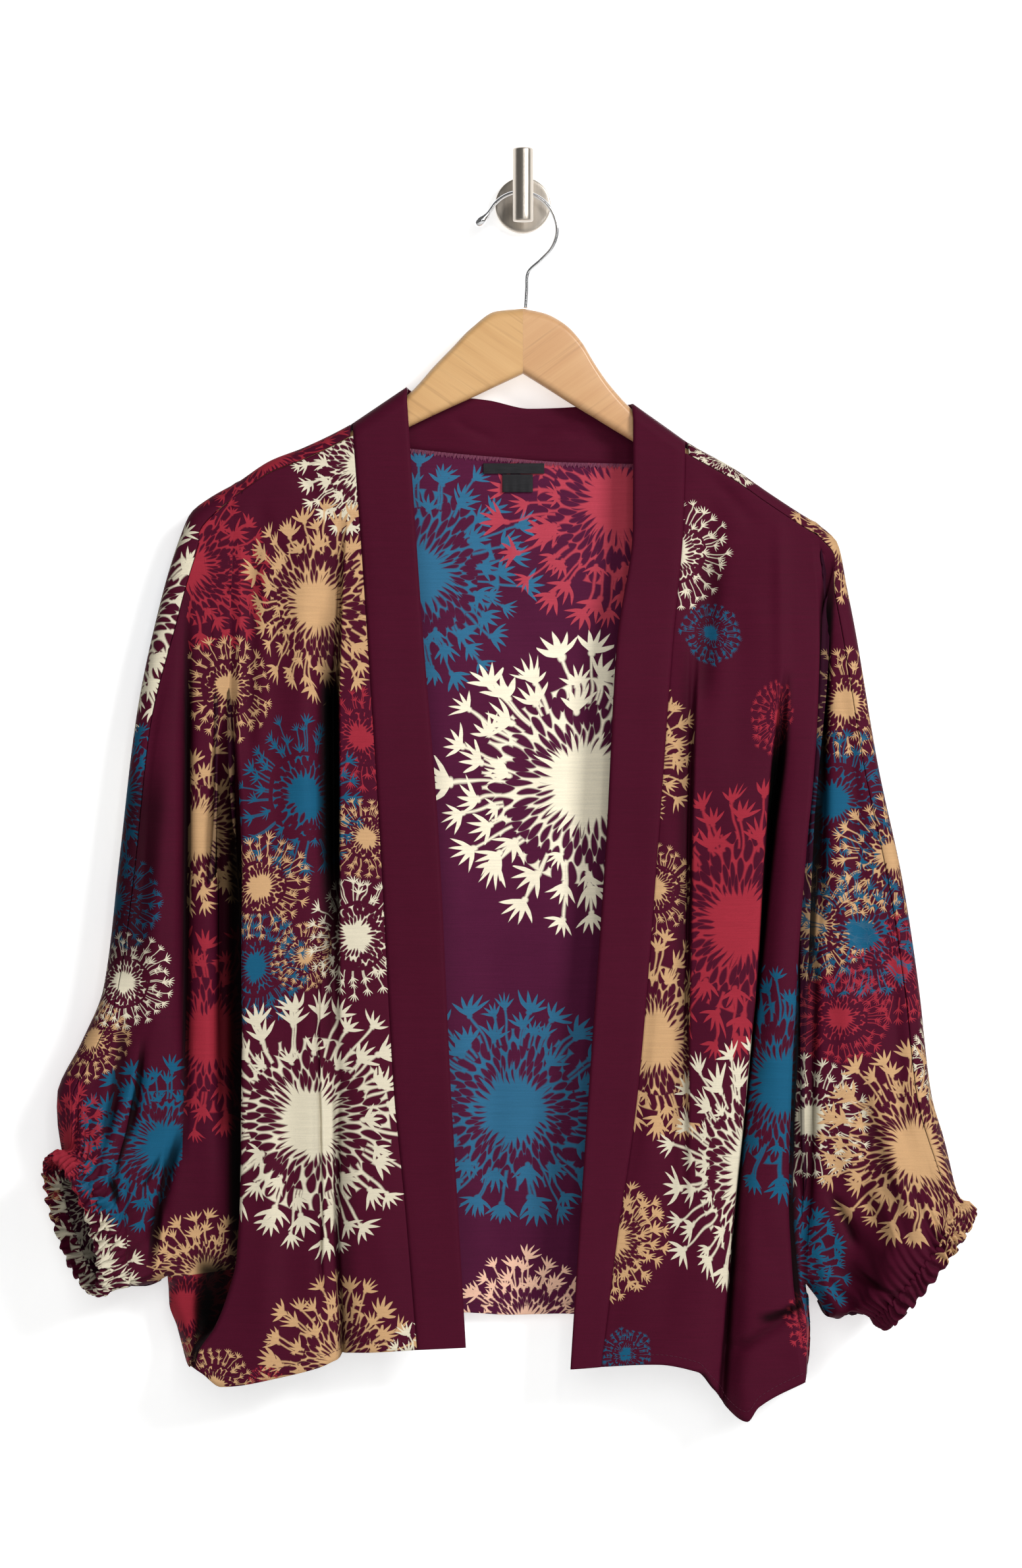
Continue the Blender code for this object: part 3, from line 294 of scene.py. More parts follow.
# Soft upright waves of the back, which grow from the first height down to the second
BACK_WAVES = table("size across down", (1.4, 31.0, 160.0), (0.8, 17.0, -240.0))
BACK_WAVE_START_Z = -200.0
BACK_WAVE_FULL_Z = -700.0
BACK_SLACK_SHIFT = 40.0

# Long soft folds of the fronts: where each runs, how deep it is, and its reach to either side
FOLDS = {
    "right": (
        dict(
            path=table("z x depth", (-205, -126, 0), (-330, -131, 4), (-460, -132, 5), (-800, -128, 8)),
            inner=16.0, outer=9.0,
        ),
    ),
    "left": (
        dict(
            path=table("z x depth", (-190, 130, 0), (-250, 129, 4), (-326, 128, 0)),
            inner=13.0, outer=13.0,
        ),
        dict(
            path=table(
                "z x depth", (-340, 176, 0), (-440, 172, 7), (-560, 163, 8), (-690, 148, 9),
                (-840, 139, 11),
            ),
            inner=15.0, outer=9.0,
        ),
    ),
}

# Back neckline between the backs of the shoulders, and the free edge of the band that stands on it
NECKLINE = table(
    "x z", (-120.6, -166.6), (-89.8, -169.8), (-28.0, -176.0), (35.0, -180.6), (85.0, -181.6),
    (115.8, -179.5),
)
NECK_EDGE = table(
    "seam x y z", (-120.6, -77.0, -12.0, -132.5), (-60.0, -45.0, -12.2, -135.6),
    (-28.0, -24.0, -12.0, -138.2), (0.0, 4.0, -12.0, -143.8), (35.0, 31.0, -12.0, -143.0),
    (80.0, 58.0, -12.2, -141.5), (115.8, 69.0, -12.0, -141.5),
)
NECK_CREST = {"right": (-81.5, -129.4), "left": (77.0, -141.0)}

# Labels: the corners of each on the back's inside
LABELS = {
    "label_main": dict(left=-28.0, right=15.0, top=-182.2, bottom=-189.5),
    "label_care": dict(left=-14.5, right=7.0, top=-189.9, bottom=-202.5),
}

# Hanger arms between the mitre and the shoulder
ARM = {
    "right": table(
        "x top bottom", (0, -74.7, -120.3), (-19, -76.6, -129.2), (-37, -89.0, -137.6),
        (-49, -101.4, -143.0), (-62, -114.8, -149.0), (-78, -132.5, -156.7), (-100, -149.0, -167.4),
        (-118, -159.5, -176.1),
    ),
    "left": table(
        "x top bottom", (0, -74.7, -120.3), (15, -77.9, -129.6), (29, -85.3, -138.5), (41, -97.8, -145.8),
        (49, -111.1, -150.6), (60, -127.2, -157.4), (78, -146.6, -168.3), (98, -161.0, -180.3),
        (116, -173.5, -191.1),
    ),
}
ARM_END = {"right": 216.0, "left": 207.0}
ARM_SHOULDER_START = {"right": 135.0, "left": 132.0}
ARM_SLOPE = {"right": 0.485, "left": 0.60}
ARM_TIP_LONG = 9.0
ARM_SECTIONS = 6

# Wire of the hanger's hook, from the wood up over the wall hook's stem to its drop end
HOOK_ROUTE = table(
    "x z thick", (1.8, -74.2, 1.0), (2.6, -61.0, 1.0), (3.6, -49.5, 1.0), (12.6, -40.6, 1.0),
    (20.4, -32.0, 1.0), (24.0, -20.5, 1.0), (21.8, -9.4, 1.0), (14.0, 1.0, 1.0), (1.5, 6.7, 1.0),
    (-10.0, 5.4, 1.0), (-19.0, -0.6, 1.0), (-23.8, -7.2, 1.0), (-26.2, -10.2, 1.7), (-29.2, -13.2, 2.5),
    (-31.8, -15.6, 2.0), (-33.0, -16.8, 0.6),
)


def curve(knots, heights, slopes, at):
    """A smooth curve through the heights at its knots, with a slope at each."""
    i = np.clip(np.searchsorted(knots, at, side="right") - 1, 0, len(knots) - 2)
    gap = knots[i + 1] - knots[i]
    t = (at - knots[i]) / gap
    start = heights[i] * (1 + 2 * t) * (1 - t) ** 2 + slopes[i] * gap * t * (1 - t) ** 2
    end = heights[i + 1] * t * t * (3 - 2 * t) + slopes[i + 1] * gap * t * t * (t - 1)
    return start + end


def read(rows, key, value, at):
    """Column value of a table at places along column key, on a curve that never overshoots its rows."""
    order = np.argsort(rows[key])
    knots = rows[key][order]
    heights = rows[value][order]
    rises = np.diff(heights) / np.diff(knots)
    same_way = rises[1:] * rises[:-1] > 0
    total = np.where(same_way, rises[1:] + rises[:-1], 1.0)
    inner = np.where(same_way, 2 * rises[1:] * rises[:-1] / total, 0.0)
    slopes = np.concatenate([rises[:1], inner, rises[-1:]])
    return curve(knots, heights, slopes, np.clip(at, knots[0], knots[-1]))


def mix(a, b, share):
    return a + (b - a) * share


def step(low, high, at):
    t = np.clip((at - low) / (high - low), 0.0, 1.0)
    return t * t * (3 - 2 * t)


def rounded(distance, radius):
    """Quarter-round profile: 0 at an edge, with the surface square to it, and 1 from the radius inwards."""
    t = np.clip(distance / radius, 0.0, 1.0)
    return np.sqrt(1 - (1 - t) ** 2)


def by_length(x, z):
    """A table of points with their length along the line through them."""
    lengths = np.concatenate([[0.0], np.cumsum(np.hypot(np.diff(x), np.diff(z)))])
    return dict(length=lengths, x=np.array(x), z=np.array(z))


def ring_axes(side):
    """Tall axis, deep axis towards the viewer and outward axis of a cuff's rim."""
    cuff = CUFF[side]
    lean = math.radians(cuff["lean"])
    facing = math.radians(cuff["facing"])
    tall = np.array([math.sin(lean), 0.0, math.cos(lean)])
    deep = np.array([-OUTWARD[side] * math.sin(facing), -math.cos(facing), 0.0])
    axis = OUTWARD[side] * np.cross(tall, deep)
    return tall, deep, axis / np.linalg.norm(axis)


def ring(side, degrees, inwards, proud=0.0):
    """Points round a cuff: 0 degrees at its top and 90 at its front, set inwards from the rim."""
    cuff = CUFF[side]
    tall, deep, axis = ring_axes(side)
    angle = np.radians(np.asarray(degrees, float))[..., None]
    middle = np.array([cuff["x"], cuff["y"], cuff["z"]]) - axis * np.asarray(inwards)[..., None]
    proud = np.asarray(proud)[..., None]
    up = np.cos(angle) * tall * (cuff["tall"] + proud)
    forward = np.sin(angle) * deep * (cuff["deep"] + proud)
    return middle + up + forward


def sleeve_end(side, degrees):
    return ring(side, degrees, CASING_WIDTH + SEAM_GAP)


def shoulder_height(side, x):
    """Height of the shoulder outline above the body, from x."""
    rows = OVER_ARM[side]
    keep = rows["z"] > SHOULDER_END_Z
    return read(dict(x=rows["x"][keep], z=rows["z"][keep]), "x", "z", x)


def lap_section(side, z, share):
    """The lap fold at height z: x and added depth, from its near side at share 0 to its far side at 1."""
    turn = np.radians(read(LAP[side], "z", "turn", z))
    run = read(LAP[side], "z", "run", z)
    edge = read(LAP[side], "z", "edge", z)
    r = FOLD_RADIUS
    near = np.clip(share / LAP_BEND, 0, 1) * turn
    middle = np.clip((share - LAP_BEND) / (1 - 2 * LAP_BEND), 0, 1) * run
    far = np.clip((share - 1 + LAP_BEND) / LAP_BEND, 0, 1)
    left_over = turn * (1 - far)
    out = r * np.sin(near) - r + middle * np.cos(turn) + r * (np.sin(turn) - np.sin(left_over))
    back = r * (1 - np.cos(near)) + middle * np.sin(turn) + r * (np.cos(left_over) - np.cos(turn))
    return edge + OUTWARD[side] * out, back


def front_depth(side, x, z, share):
    """Depth of a front's body: share runs from 0 at the band to 1 at the lap."""
    band, middle, lap = (read(FRONT_DEPTH, "z", name, z) for name in ("band", "middle", "lap"))
    share = np.clip(share, 0.0, 1.0)
    bow = middle - (band + lap) / 2
    depth = mix(band, lap, share) + 4 * bow * share * (1 - share)
    for fold in FOLDS[side]:
        offset = (x - read(fold["path"], "z", "x", z)) * OUTWARD[side]
        reach = np.where(offset > 0, fold["outer"], fold["inner"])
        depth = depth + read(fold["path"], "z", "depth", z) * np.exp(-((offset / reach) ** 2))
    return depth


def back_depth(x, z):
    """Depth of the back, with soft upright waves that grow downwards."""
    growth = 1 - step(BACK_WAVE_FULL_Z, BACK_WAVE_START_Z, z)
    depth = np.full(np.shape(x), BACK_Y)
    for size, across, down in zip(*BACK_WAVES.values()):
        depth = depth + growth * size * np.sin(x / across + z / down)
    return depth


def lap_line(side, z):
    """Where the sleeve starts behind the lap: x and depth at height z."""
    x, back = lap_section(side, z, 1.0)
    edge = read(LAP[side], "z", "edge", z)
    return x, front_depth(side, edge, z, 1.0) + back


def lap_top(side):
    """Height at which the lap's line starts on the shoulder outline."""
    return float(shoulder_height(side, LAP[side]["edge"][0]))


def over_arm(side):
    """The over-arm outline from the lap's start to the cuff, by length."""
    rows = OVER_ARM[side]
    start = LAP[side]["edge"][0]
    keep = np.abs(rows["x"]) > abs(start) + FOLD_RADIUS
    end = sleeve_end(side, CUFF[side]["crest"])
    x = np.concatenate([[start], rows["x"][keep], [end[0]]])
    z = np.concatenate([[lap_top(side)], rows["z"][keep], [end[2]]])
    seam = np.concatenate([rows["seam"][~keep][-1:], rows["seam"][keep], rows["seam"][-1:]])
    line = by_length(x, z)
    line["seam"] = seam
    return line


def underarm(side, q):
    """Lower end of sleeve column q: under the lap up to SIDE_SHARE, then along the sleeve's lower edge."""
    rows = UNDERARM[side]
    end = sleeve_end(side, 180.0)
    line = by_length(np.append(rows["x"], end[0]), np.append(rows["z"], end[2]))
    lap_x, _ = lap_line(side, UNDERARM_Z[side])
    if q < SIDE_SHARE:
        share = q / SIDE_SHARE
        return np.array([mix(lap_x, rows["x"][0], share), mix(UNDERARM_Z[side], rows["z"][0], share)])
    at = (q - SIDE_SHARE) / (1 - SIDE_SHARE) * line["length"][-1]
    return np.array([float(read(line, "length", name, at)) for name in ("x", "z")])


def sleeve_column(side, q):
    """One column of the sleeve in plan, from the over-arm outline to the lower edge, and its seam inset."""
    line = over_arm(side)
    at = q * line["length"][-1]
    near = np.clip([at - CLOTH, at + CLOTH], 0.0, line["length"][-1])
    top = np.array([float(read(line, "length", name, at)) for name in ("x", "z")])
    run = np.array([np.diff(read(line, "length", name, near))[0] for name in ("x", "z")])
    run = run / np.linalg.norm(run)
    inward = OUTWARD[side] * np.array([run[1], -run[0]])
    inward = mix(np.array([0.0, -1.0]), inward, step(0.0, LEAD_SHARE, q))
    inward = inward / np.linalg.norm(inward)
    low = underarm(side, q)
    reach = np.linalg.norm(low - top)
    tall = ring_axes(side)[0]
    upward = mix(np.array([0.0, 1.0]), np.array([tall[0], tall[2]]), step(0.5, 1.0, q))
    second = top + inward * min(COLUMN_LEAD, reach * LOWER_LEAD)
    third = low + upward * reach * LOWER_LEAD
    t = np.linspace(0, 1, COLUMN_POINTS)[:, None]
    points = top * (1 - t) ** 3 + 3 * second * t * (1 - t) ** 2
    points = points + 3 * third * t * t * (1 - t) + low * t**3
    if q == 0.0:
        z = mix(top[1], low[1], t[:, 0])
        points = np.stack([lap_line(side, z)[0], z], axis=1)
    return by_length(points[:, 0], points[:, 1]), float(read(line, "length", "seam", at))


def edge_distance(side, x, z):
    """Distance in plan from the sleeve's lower edge and the side seam, where front and back meet."""
    end = sleeve_end(side, 180.0)
    edge_x = np.concatenate([[end[0]], UNDERARM[side]["x"][::-1], SIDE_SEAM[side]["x"][1:]])
    edge_z = np.concatenate([[end[2]], UNDERARM[side]["z"][::-1], SIDE_SEAM[side]["z"][1:]])
    nearest = np.full(np.shape(x), np.inf)
    for i in range(len(edge_x) - 1):
        along = np.array([edge_x[i + 1] - edge_x[i], edge_z[i + 1] - edge_z[i]])
        t = ((x - edge_x[i]) * along[0] + (z - edge_z[i]) * along[1]) / (along @ along)
        t = np.clip(t, 0, 1)
        away = np.hypot(x - edge_x[i] - t * along[0], z - edge_z[i] - t * along[1])
        nearest = np.minimum(nearest, away)
    return nearest


def sleeve_front_depth(side, q, share, z):
    """Depth of a sleeve's front: behind the lap at q 0, fuller towards the cuff, sunk below the underarm."""
    lap_z = np.where(share < 1.0, mix(lap_top(side), UNDERARM_Z[side], share), z)
    behind_lap = lap_line(side, lap_z)[1]
    sleeve = SHOULDER_FRONT_Y - SLEEVE_SINK * np.minimum(share, 1.0) - SLEEVE_SWELL * q * q
    below = step(0.0, FLANK_RUN, UNDERARM_Z[side] - FLANK_START - z) * (share >= 1.0)
    sleeve = mix(sleeve, FLANK_Y, below)
    return mix(behind_lap, sleeve, step(0.0, LAP_FADE, q))


def cuff_blend(q, share):
    """How far a sleeve has taken its cuff's shape: later along the over-arm outline, at share 0."""
    start = mix(CREST_BLEND, CUFF_BLEND, step(0.0, CREST_SHARE, share))
    return step(start, 1.0, q)


def front_turns(side):
    """Place of each row of a sleeve's front round the cuff, in degrees."""
    first = CUFF[side]["crest"] + SEAM_TURN + SEAM_OPEN
    return np.append(np.linspace(first, 180.0 - SEAM_OPEN, len(ABOVE)), np.full(len(BELOW), 180.0))


def back_turns(side):
    """Place of each row of a sleeve's back round the cuff, in degrees."""
    crest = CUFF[side]["crest"]
    over = crest + (SEAM_TURN - SEAM_OPEN) * np.clip(TURN_ROWS / TURN_ROWS[0], 0, 1)
    behind = np.linspace(crest, SEAM_OPEN - 180.0, len(TURN_ROWS) - CREST_ROW + len(ABOVE))
    return np.concatenate([over[:CREST_ROW], behind, np.full(len(BELOW), 180.0)])


def sleeve_skin(side, distances, turns):
    """Outer skin of one face of a sleeve and the flank under it, as rows by columns.

    distances(length, seam) gives each row's distance from the outline, negative on the front of the turn.
    turns gives each row's place round the cuff in degrees.
    """
    columns = []
    flank = np.ones(len(BELOW))
    for q in SLEEVE:
        line, seam = sleeve_column(side, q)
        rows = distances(line["length"][-1], seam)
        x, z = (read(line, "length", name, np.abs(rows)) for name in ("x", "z"))
        low = underarm(side, q)
        flank_x, flank_z = low[0] * flank, low[1] * flank
        if q <= SIDE_SHARE + 1e-6:
            hem_x = mix(LAP[side]["edge"][-1], SIDE_SEAM[side]["x"][-1], q / SIDE_SHARE)
            flank_z = mix(low[1], read(HEM[side], "x", "z", hem_x), BELOW)
            side_x = read(SIDE_SEAM[side], "z", "x", flank_z)
            flank_x = mix(lap_line(side, flank_z)[0], side_x, q / SIDE_SHARE)
        x = np.append(x, flank_x)
        z = np.append(z, flank_z)
        share = np.append(np.abs(rows) / line["length"][-1], flank)
        front = sleeve_front_depth(side, q, share, z)
        inset = np.append(np.abs(rows), FAR * flank)
        columns.append((x, z, front, inset, np.append(rows < 0, flank < 0), share))
    x, z, front, inset, on_front, share = (np.stack(part, axis=1) for part in zip(*columns))
    q = SLEEVE[None, :]
    inwards = CASING_WIDTH + SEAM_GAP + CUFF_REACH * (1 - q)
    end = ring(side, turns[:, None], inwards, CUFF_PUFF * step(0.0, PUFF_SHARE, 1 - q))
    return x, z, front, inset, on_front, cuff_blend(q, share)[..., None], end


def top_height(side, place):
    """Height where a column meets the shoulder outline, when its x itself depends on height."""
    z_top = np.array(SHOULDER_NEAR_Z)
    for _ in range(SETTLE_ROUNDS):
        z_top = shoulder_height(side, place(z_top))
    return z_top


def front_skin(side):
    """Outer skin of a front and its half sleeve: rows from the shoulder down, columns from the band out."""
    out = OUTWARD[side]
    under = UNDERARM_Z[side]
    columns = []
    places = [(share, None) for share in BODY] + [(1.0, share) for share in LAP_SHARES[1:-1]]
    for share, at in places:
        def place(z, share=share, at=at):
            if at is not None:
                return lap_section(side, z, at)[0]
            start = read(BAND[side], "z", "seam", z) + out * SEAM_GAP / 2
            return mix(start, lap_section(side, z, 0.0)[0], share)

        z_top = top_height(side, place)
        z_hem = np.array(HEM_NEAR_Z)
        for _ in range(SETTLE_ROUNDS):
            z_hem = read(HEM[side], "x", "z", place(z_hem))
        seam = OVER_ARM[side]["seam"][0] + OVER_ARM_OPEN
        z = np.append(z_top - mix(seam, z_top - under, ABOVE), mix(under, z_hem, BELOW))
        x = place(z)
        depth_x = x if at is None else read(LAP[side], "z", "edge", z)
        y = front_depth(side, depth_x, z, share)
        if at is not None:
            y = y + lap_section(side, z, at)[1]
        middle = (y + back_depth(x, z)) / 2
        y = mix(middle, y, rounded(z_top - z, SHOULDER_ROUND))
        columns.append(np.stack([x, y, z], axis=1))
    body_skin = np.stack(columns, axis=1)

    def distances(length, seam):
        return mix(seam + OVER_ARM_OPEN, length, ABOVE)

    x, z, front, inset, _, blend, end = sleeve_skin(side, distances, front_turns(side))
    middle = (front + back_depth(x, z)) / 2
    edge = rounded(inset, SHOULDER_ROUND) * rounded(edge_distance(side, x, z), UNDERARM_ROUND)
    y = mix(middle - SEAM_GAP / 2, front, edge)
    sleeve_part = mix(np.stack([x, y, z], axis=2), end, blend)
    return np.concatenate([body_skin, sleeve_part], axis=1)


def back_top(x):
    """Top of the back: the shoulder outlines, and between them a line one rounding above the neckline."""
    z = read(NECKLINE, "x", "z", x) + SHOULDER_ROUND
    z = np.where(x < NECKLINE["x"][0], shoulder_height("right", x), z)
    return np.where(x > NECKLINE["x"][-1], shoulder_height("left", x), z)


def back_body(columns, above, below):
    """Outer skin of the back between the two lap lines; columns are places across the shoulders."""
    starts = [lap_line(side, np.array(lap_top(side)))[0] for side in ("right", "left")]
    skin = []
    for place in columns:
        share = (place - starts[0]) / (starts[1] - starts[0])
        z_top = float(back_top(place))
        under = mix(UNDERARM_Z["right"], UNDERARM_Z["left"], share)
        over = np.where(TURN_ROWS == TURN_ROWS[0], TURN_ROWS + OVER_ARM_OPEN, TURN_ROWS)
        distance = np.append(over, mix(SHOULDER_ROUND, z_top - under, above))
        z_hem = read(BACK_HEM, "x", "z", place)
        z = np.append(z_top - np.abs(distance), mix(under, z_hem, below))
        x = mix(lap_line("right", z)[0], lap_line("left", z)[0], share)
        back = back_depth(x, z)
        middle = (back + SHOULDER_FRONT_Y) / 2
        level = np.append(distance, np.full(len(below), FAR))
        face = np.where(level < 0, SHOULDER_FRONT_Y, back)
        y = mix(middle, face, rounded(np.abs(level), SHOULDER_ROUND))
        skin.append(np.stack([x, y, z], axis=1))
    return np.stack(skin, axis=1)


def back_sleeve(side):
    """Outer skin of the back of a sleeve, from its seam over the crest and down."""
    def distances(length, seam):
        spread = (TURN_ROWS - TURN_EVEN) / (TURN_ROWS[0] - TURN_EVEN)
        over = np.where(spread > 0, mix(TURN_EVEN, OVER_ARM_OPEN - seam, spread), TURN_ROWS)
        return np.append(over, mix(SHOULDER_ROUND, length, ABOVE))

    x, z, front, inset, on_front, blend, end = sleeve_skin(side, distances, back_turns(side))
    back = back_depth(x, z)
    middle = (front + back) / 2
    face = np.where(on_front, front, back)
    edge = rounded(inset, SHOULDER_ROUND) * rounded(edge_distance(side, x, z), UNDERARM_ROUND)
    y = mix(middle + SEAM_GAP / 2 * ~on_front, face, edge)
    return mix(np.stack([x, y, z], axis=2), end, blend)


def skin_normals(skin, cells, facing):
    """Unit normals of a skin from the cells round each point."""
    normals = np.zeros_like(skin)
    first = skin[1:, 1:] - skin[:-1, :-1]
    second = skin[:-1, 1:] - skin[1:, :-1]
    flat = np.cross(second, first) * facing
    flat = np.where(cells[..., None], flat, 0.0)
    for rows in (slice(None, -1), slice(1, None)):
        for columns in (slice(None, -1), slice(1, None)):
            normals[rows, columns] += flat
    length = np.linalg.norm(normals, axis=2, keepdims=True)
    return normals / np.where(length > 0, length, 1.0)


# Fine rows and columns of the cloth
def finer(coarse, count):
    """A list of places with more of them between."""
    return np.interp(np.linspace(0, len(coarse) - 1, count), np.arange(len(coarse)), coarse)


ABOVE = finer([0, 0.025, 0.06, 0.11, 0.18, *np.linspace(0.26, 0.71, 6), 0.79, 0.87, 0.93, 0.975, 1], 150)
BELOW = finer([0, 0.12, 0.3, 0.5, 0.75, 1], 27)[1:]
BODY = np.linspace(0, 1, 104)
LAP_SHARES = np.linspace(0, 1, 26)
SIDE_COLUMN = 26
SLEEVE = np.concatenate([
    np.linspace(0, SIDE_SHARE, SIDE_COLUMN + 1),
    np.linspace(SIDE_SHARE, 1, 46)[1:],
])
TURN_ROWS = np.concatenate([np.linspace(-9, -6, 5), np.arange(-5, 6) * 1.1])
CREST_ROW = int(np.argmax(TURN_ROWS >= 0))
NECK_COLUMNS = np.linspace(NECKLINE["x"][0], NECKLINE["x"][-1], 78)
SHOULDER_COLUMNS = 26
BAND_COLUMNS = 15
UNDER_ROW = len(ABOVE) - 1
TURN_FLAT = 44
LAP_START = len(BODY)
SLEEVE_START = len(BODY) + len(LAP_SHARES) - 2
CLOTH_SHOWN = 0.8
SEAM_INLAY = 1.2
MITRE_GAP = 0.02
CUFF_INLAY = 2.5
BAND_SHOWN = 1.8

# Bands: their rows, the sway of their free edge, and how deep their seam and their edge go
BAND_ROWS = 230
BAND_SWAYS = ((1.3, 74.0), (0.6, 31.0))
BAND_SWAY_START = {"right": 0.0, "left": 1.6}
BAND_SWAY_Z = (-330.0, -200.0)
BAND_SEAM_DEEP = 0.7
BAND_SEAM_SHARE = 0.86
BAND_EDGE_DEEP = 0.5
BAND_EDGE_SHARE = 0.08
BAND_SLACK = 0.25
NECK_RUCK = 1.3
NECK_RUCK_LONG = 11.0
NECK_RUCK_FADE = 30.0

CREASE = "x0 z0 x1 z1 bend width depth"

# Creases of the fronts: from and to, how far the line bows, its half width and depth, a ridge below zero
BODY_CREASES = {
    "right": table(
        CREASE, (-138, -235, -138, -505, 1, 9.0, 4.5), (-151, -200, -147, -480, 2, 10, -2.2),
        (-145, -450, -142, -815, -2, 12, -2.8), (-187, -205, -191, -420, 0, 6, 3.6),
        (-169, -225, -173, -530, 2, 10, 2.2), (-164, -560, -158, -820, 3, 13, 2.0),
        (-182, -590, -177, -830, -2, 9, -1.6), (-112, -560, -102, -805, 2, 9, 1.2),
        (-165, -186, -128, -232, -3, 5, 1.4), (-186, -204, -158, -262, 4, 6, 1.2),
        (-140, -700, -133, -830, 2, 6, 2.2),
    ),
    "left": table(
        CREASE, (131, -225, 126, -370, 0, 8, 4.5), (179, -210, 180, -380, 0, 5, -1.8),
        (151, -215, 149, -440, 2, 12, 1.8), (119, -420, 108, -650, -2, 10, 2.2),
        (109, -620, 100, -812, 2, 12, 2.2), (138, -540, 126, -812, 2, 10, -2.4),
        (95, -520, 88, -700, 2, 7, -1.2), (190, -420, 178, -760, 2, 9, -1.8),
        (128, -176, 168, -232, 4, 6, 1.4), (136, -800, 196, -763, 5, 4, 4.6),
        (150, -830, 192, -800, -4, 8, 1.6),
    ),
}
SLEEVE_CREASES = {
    "right": table(
        CREASE, (-207, -330, -208, -690, 1, 6.5, 11), (-235, -255, -236, -690, -1, 4.4, 8),
        (-235, -640, -260, -746, 3, 4.5, 6), (-264, -580, -284, -690, -4.5, 3.2, 5),
        (-276, -566, -292, -660, -2, 4.5, 3.6), (-251, -666, -265, -688, 0, 1.8, 2.4),
        (-247, -310, -252, -650, 3, 9, -3), (-220, -430, -221, -720, -2, 8, -2.4),
        (-264, -400, -277, -640, -4, 7, 2.6), (-286, -500, -302, -640, -3, 6, 2.4),
        (-262, -590, -295, -672, 5, 5, 2.6), (-250, -640, -284, -694, 5, 5, 2.4),
        (-252, -700, -286, -716, 3, 4.5, 2.6), (-255, -735, -284, -738, -3, 5, 3),
        (-300, -600, -312, -655, 2, 5, 2), (-229, -770, -226, -812, 1, 6, 2.4),
    ),
    "left": table(
        CREASE, (210, -280, 205, -530, 0, 4.6, 9), (204, -480, 196, -745, 0, 4.2, 7),
        (233, -290, 237, -570, 3, 8, 2.6), (221, -420, 226, -650, -2, 8, -2.4),
        (250, -420, 263, -640, -4, 8, 2.8), (240, -610, 263, -712, 5, 6, 2.8),
        (260, -600, 280, -695, 4, 6, 2.8), (224, -680, 252, -738, -5, 6, 3.2),
        (214, -745, 246, -758, -4, 6, 3), (284, -630, 297, -690, 3, 5, 2.4),
        (228, -640, 240, -735, 4, 7, -2.4), (205, -700, 216, -765, 3, 6, -2),
        (210, -688, 232, -732, -3, 3.4, 4.6), (226, -741, 266, -757, 5, 3, 3.6),
        (210, -747, 234, -770, 3, 3.4, 3.2), (246, -728, 270, -742, 3, 4, -2.2),
    ),
}
BACK_CREASES = table(
    CREASE, (-168, -220, -150, -800, 5, 15, 3.0), (-120, -420, -104, -800, -4, 13, 2.2),
    (-62, -230, -68, -790, -4, 18, 2.2), (-24, -480, -18, -790, 3, 12, -1.6),
    (22, -300, 33, -790, 4, 16, 2.4), (78, -460, 86, -800, -3, 12, -1.8),
    (112, -240, 122, -800, -5, 15, 2.8), (168, -300, 160, -810, 4, 12, 2.4),
    (-212, -270, -222, -640, -4, 11, 3.0), (-250, -330, -276, -650, -5, 10, 3.2),
    (-244, -560, -290, -690, 6, 8, 3.0), (-232, -660, -280, -722, 5, 7, 2.8),
    (212, -310, 216, -650, 3, 11, 3.0), (240, -370, 262, -660, -4, 10, 3.2),
    (226, -600, 262, -716, 6, 8, 3.0), (214, -700, 250, -748, -4, 7, 2.8),
)

NECK_CREASES = table(
    CREASE, (-52, -150, -14, -166, 2, 3.0, 1.6), (2, -160, 44, -163, -3, 2.2, 1.8),
    (30, -148, 62, -160, 2, 3.0, -1.4),
)
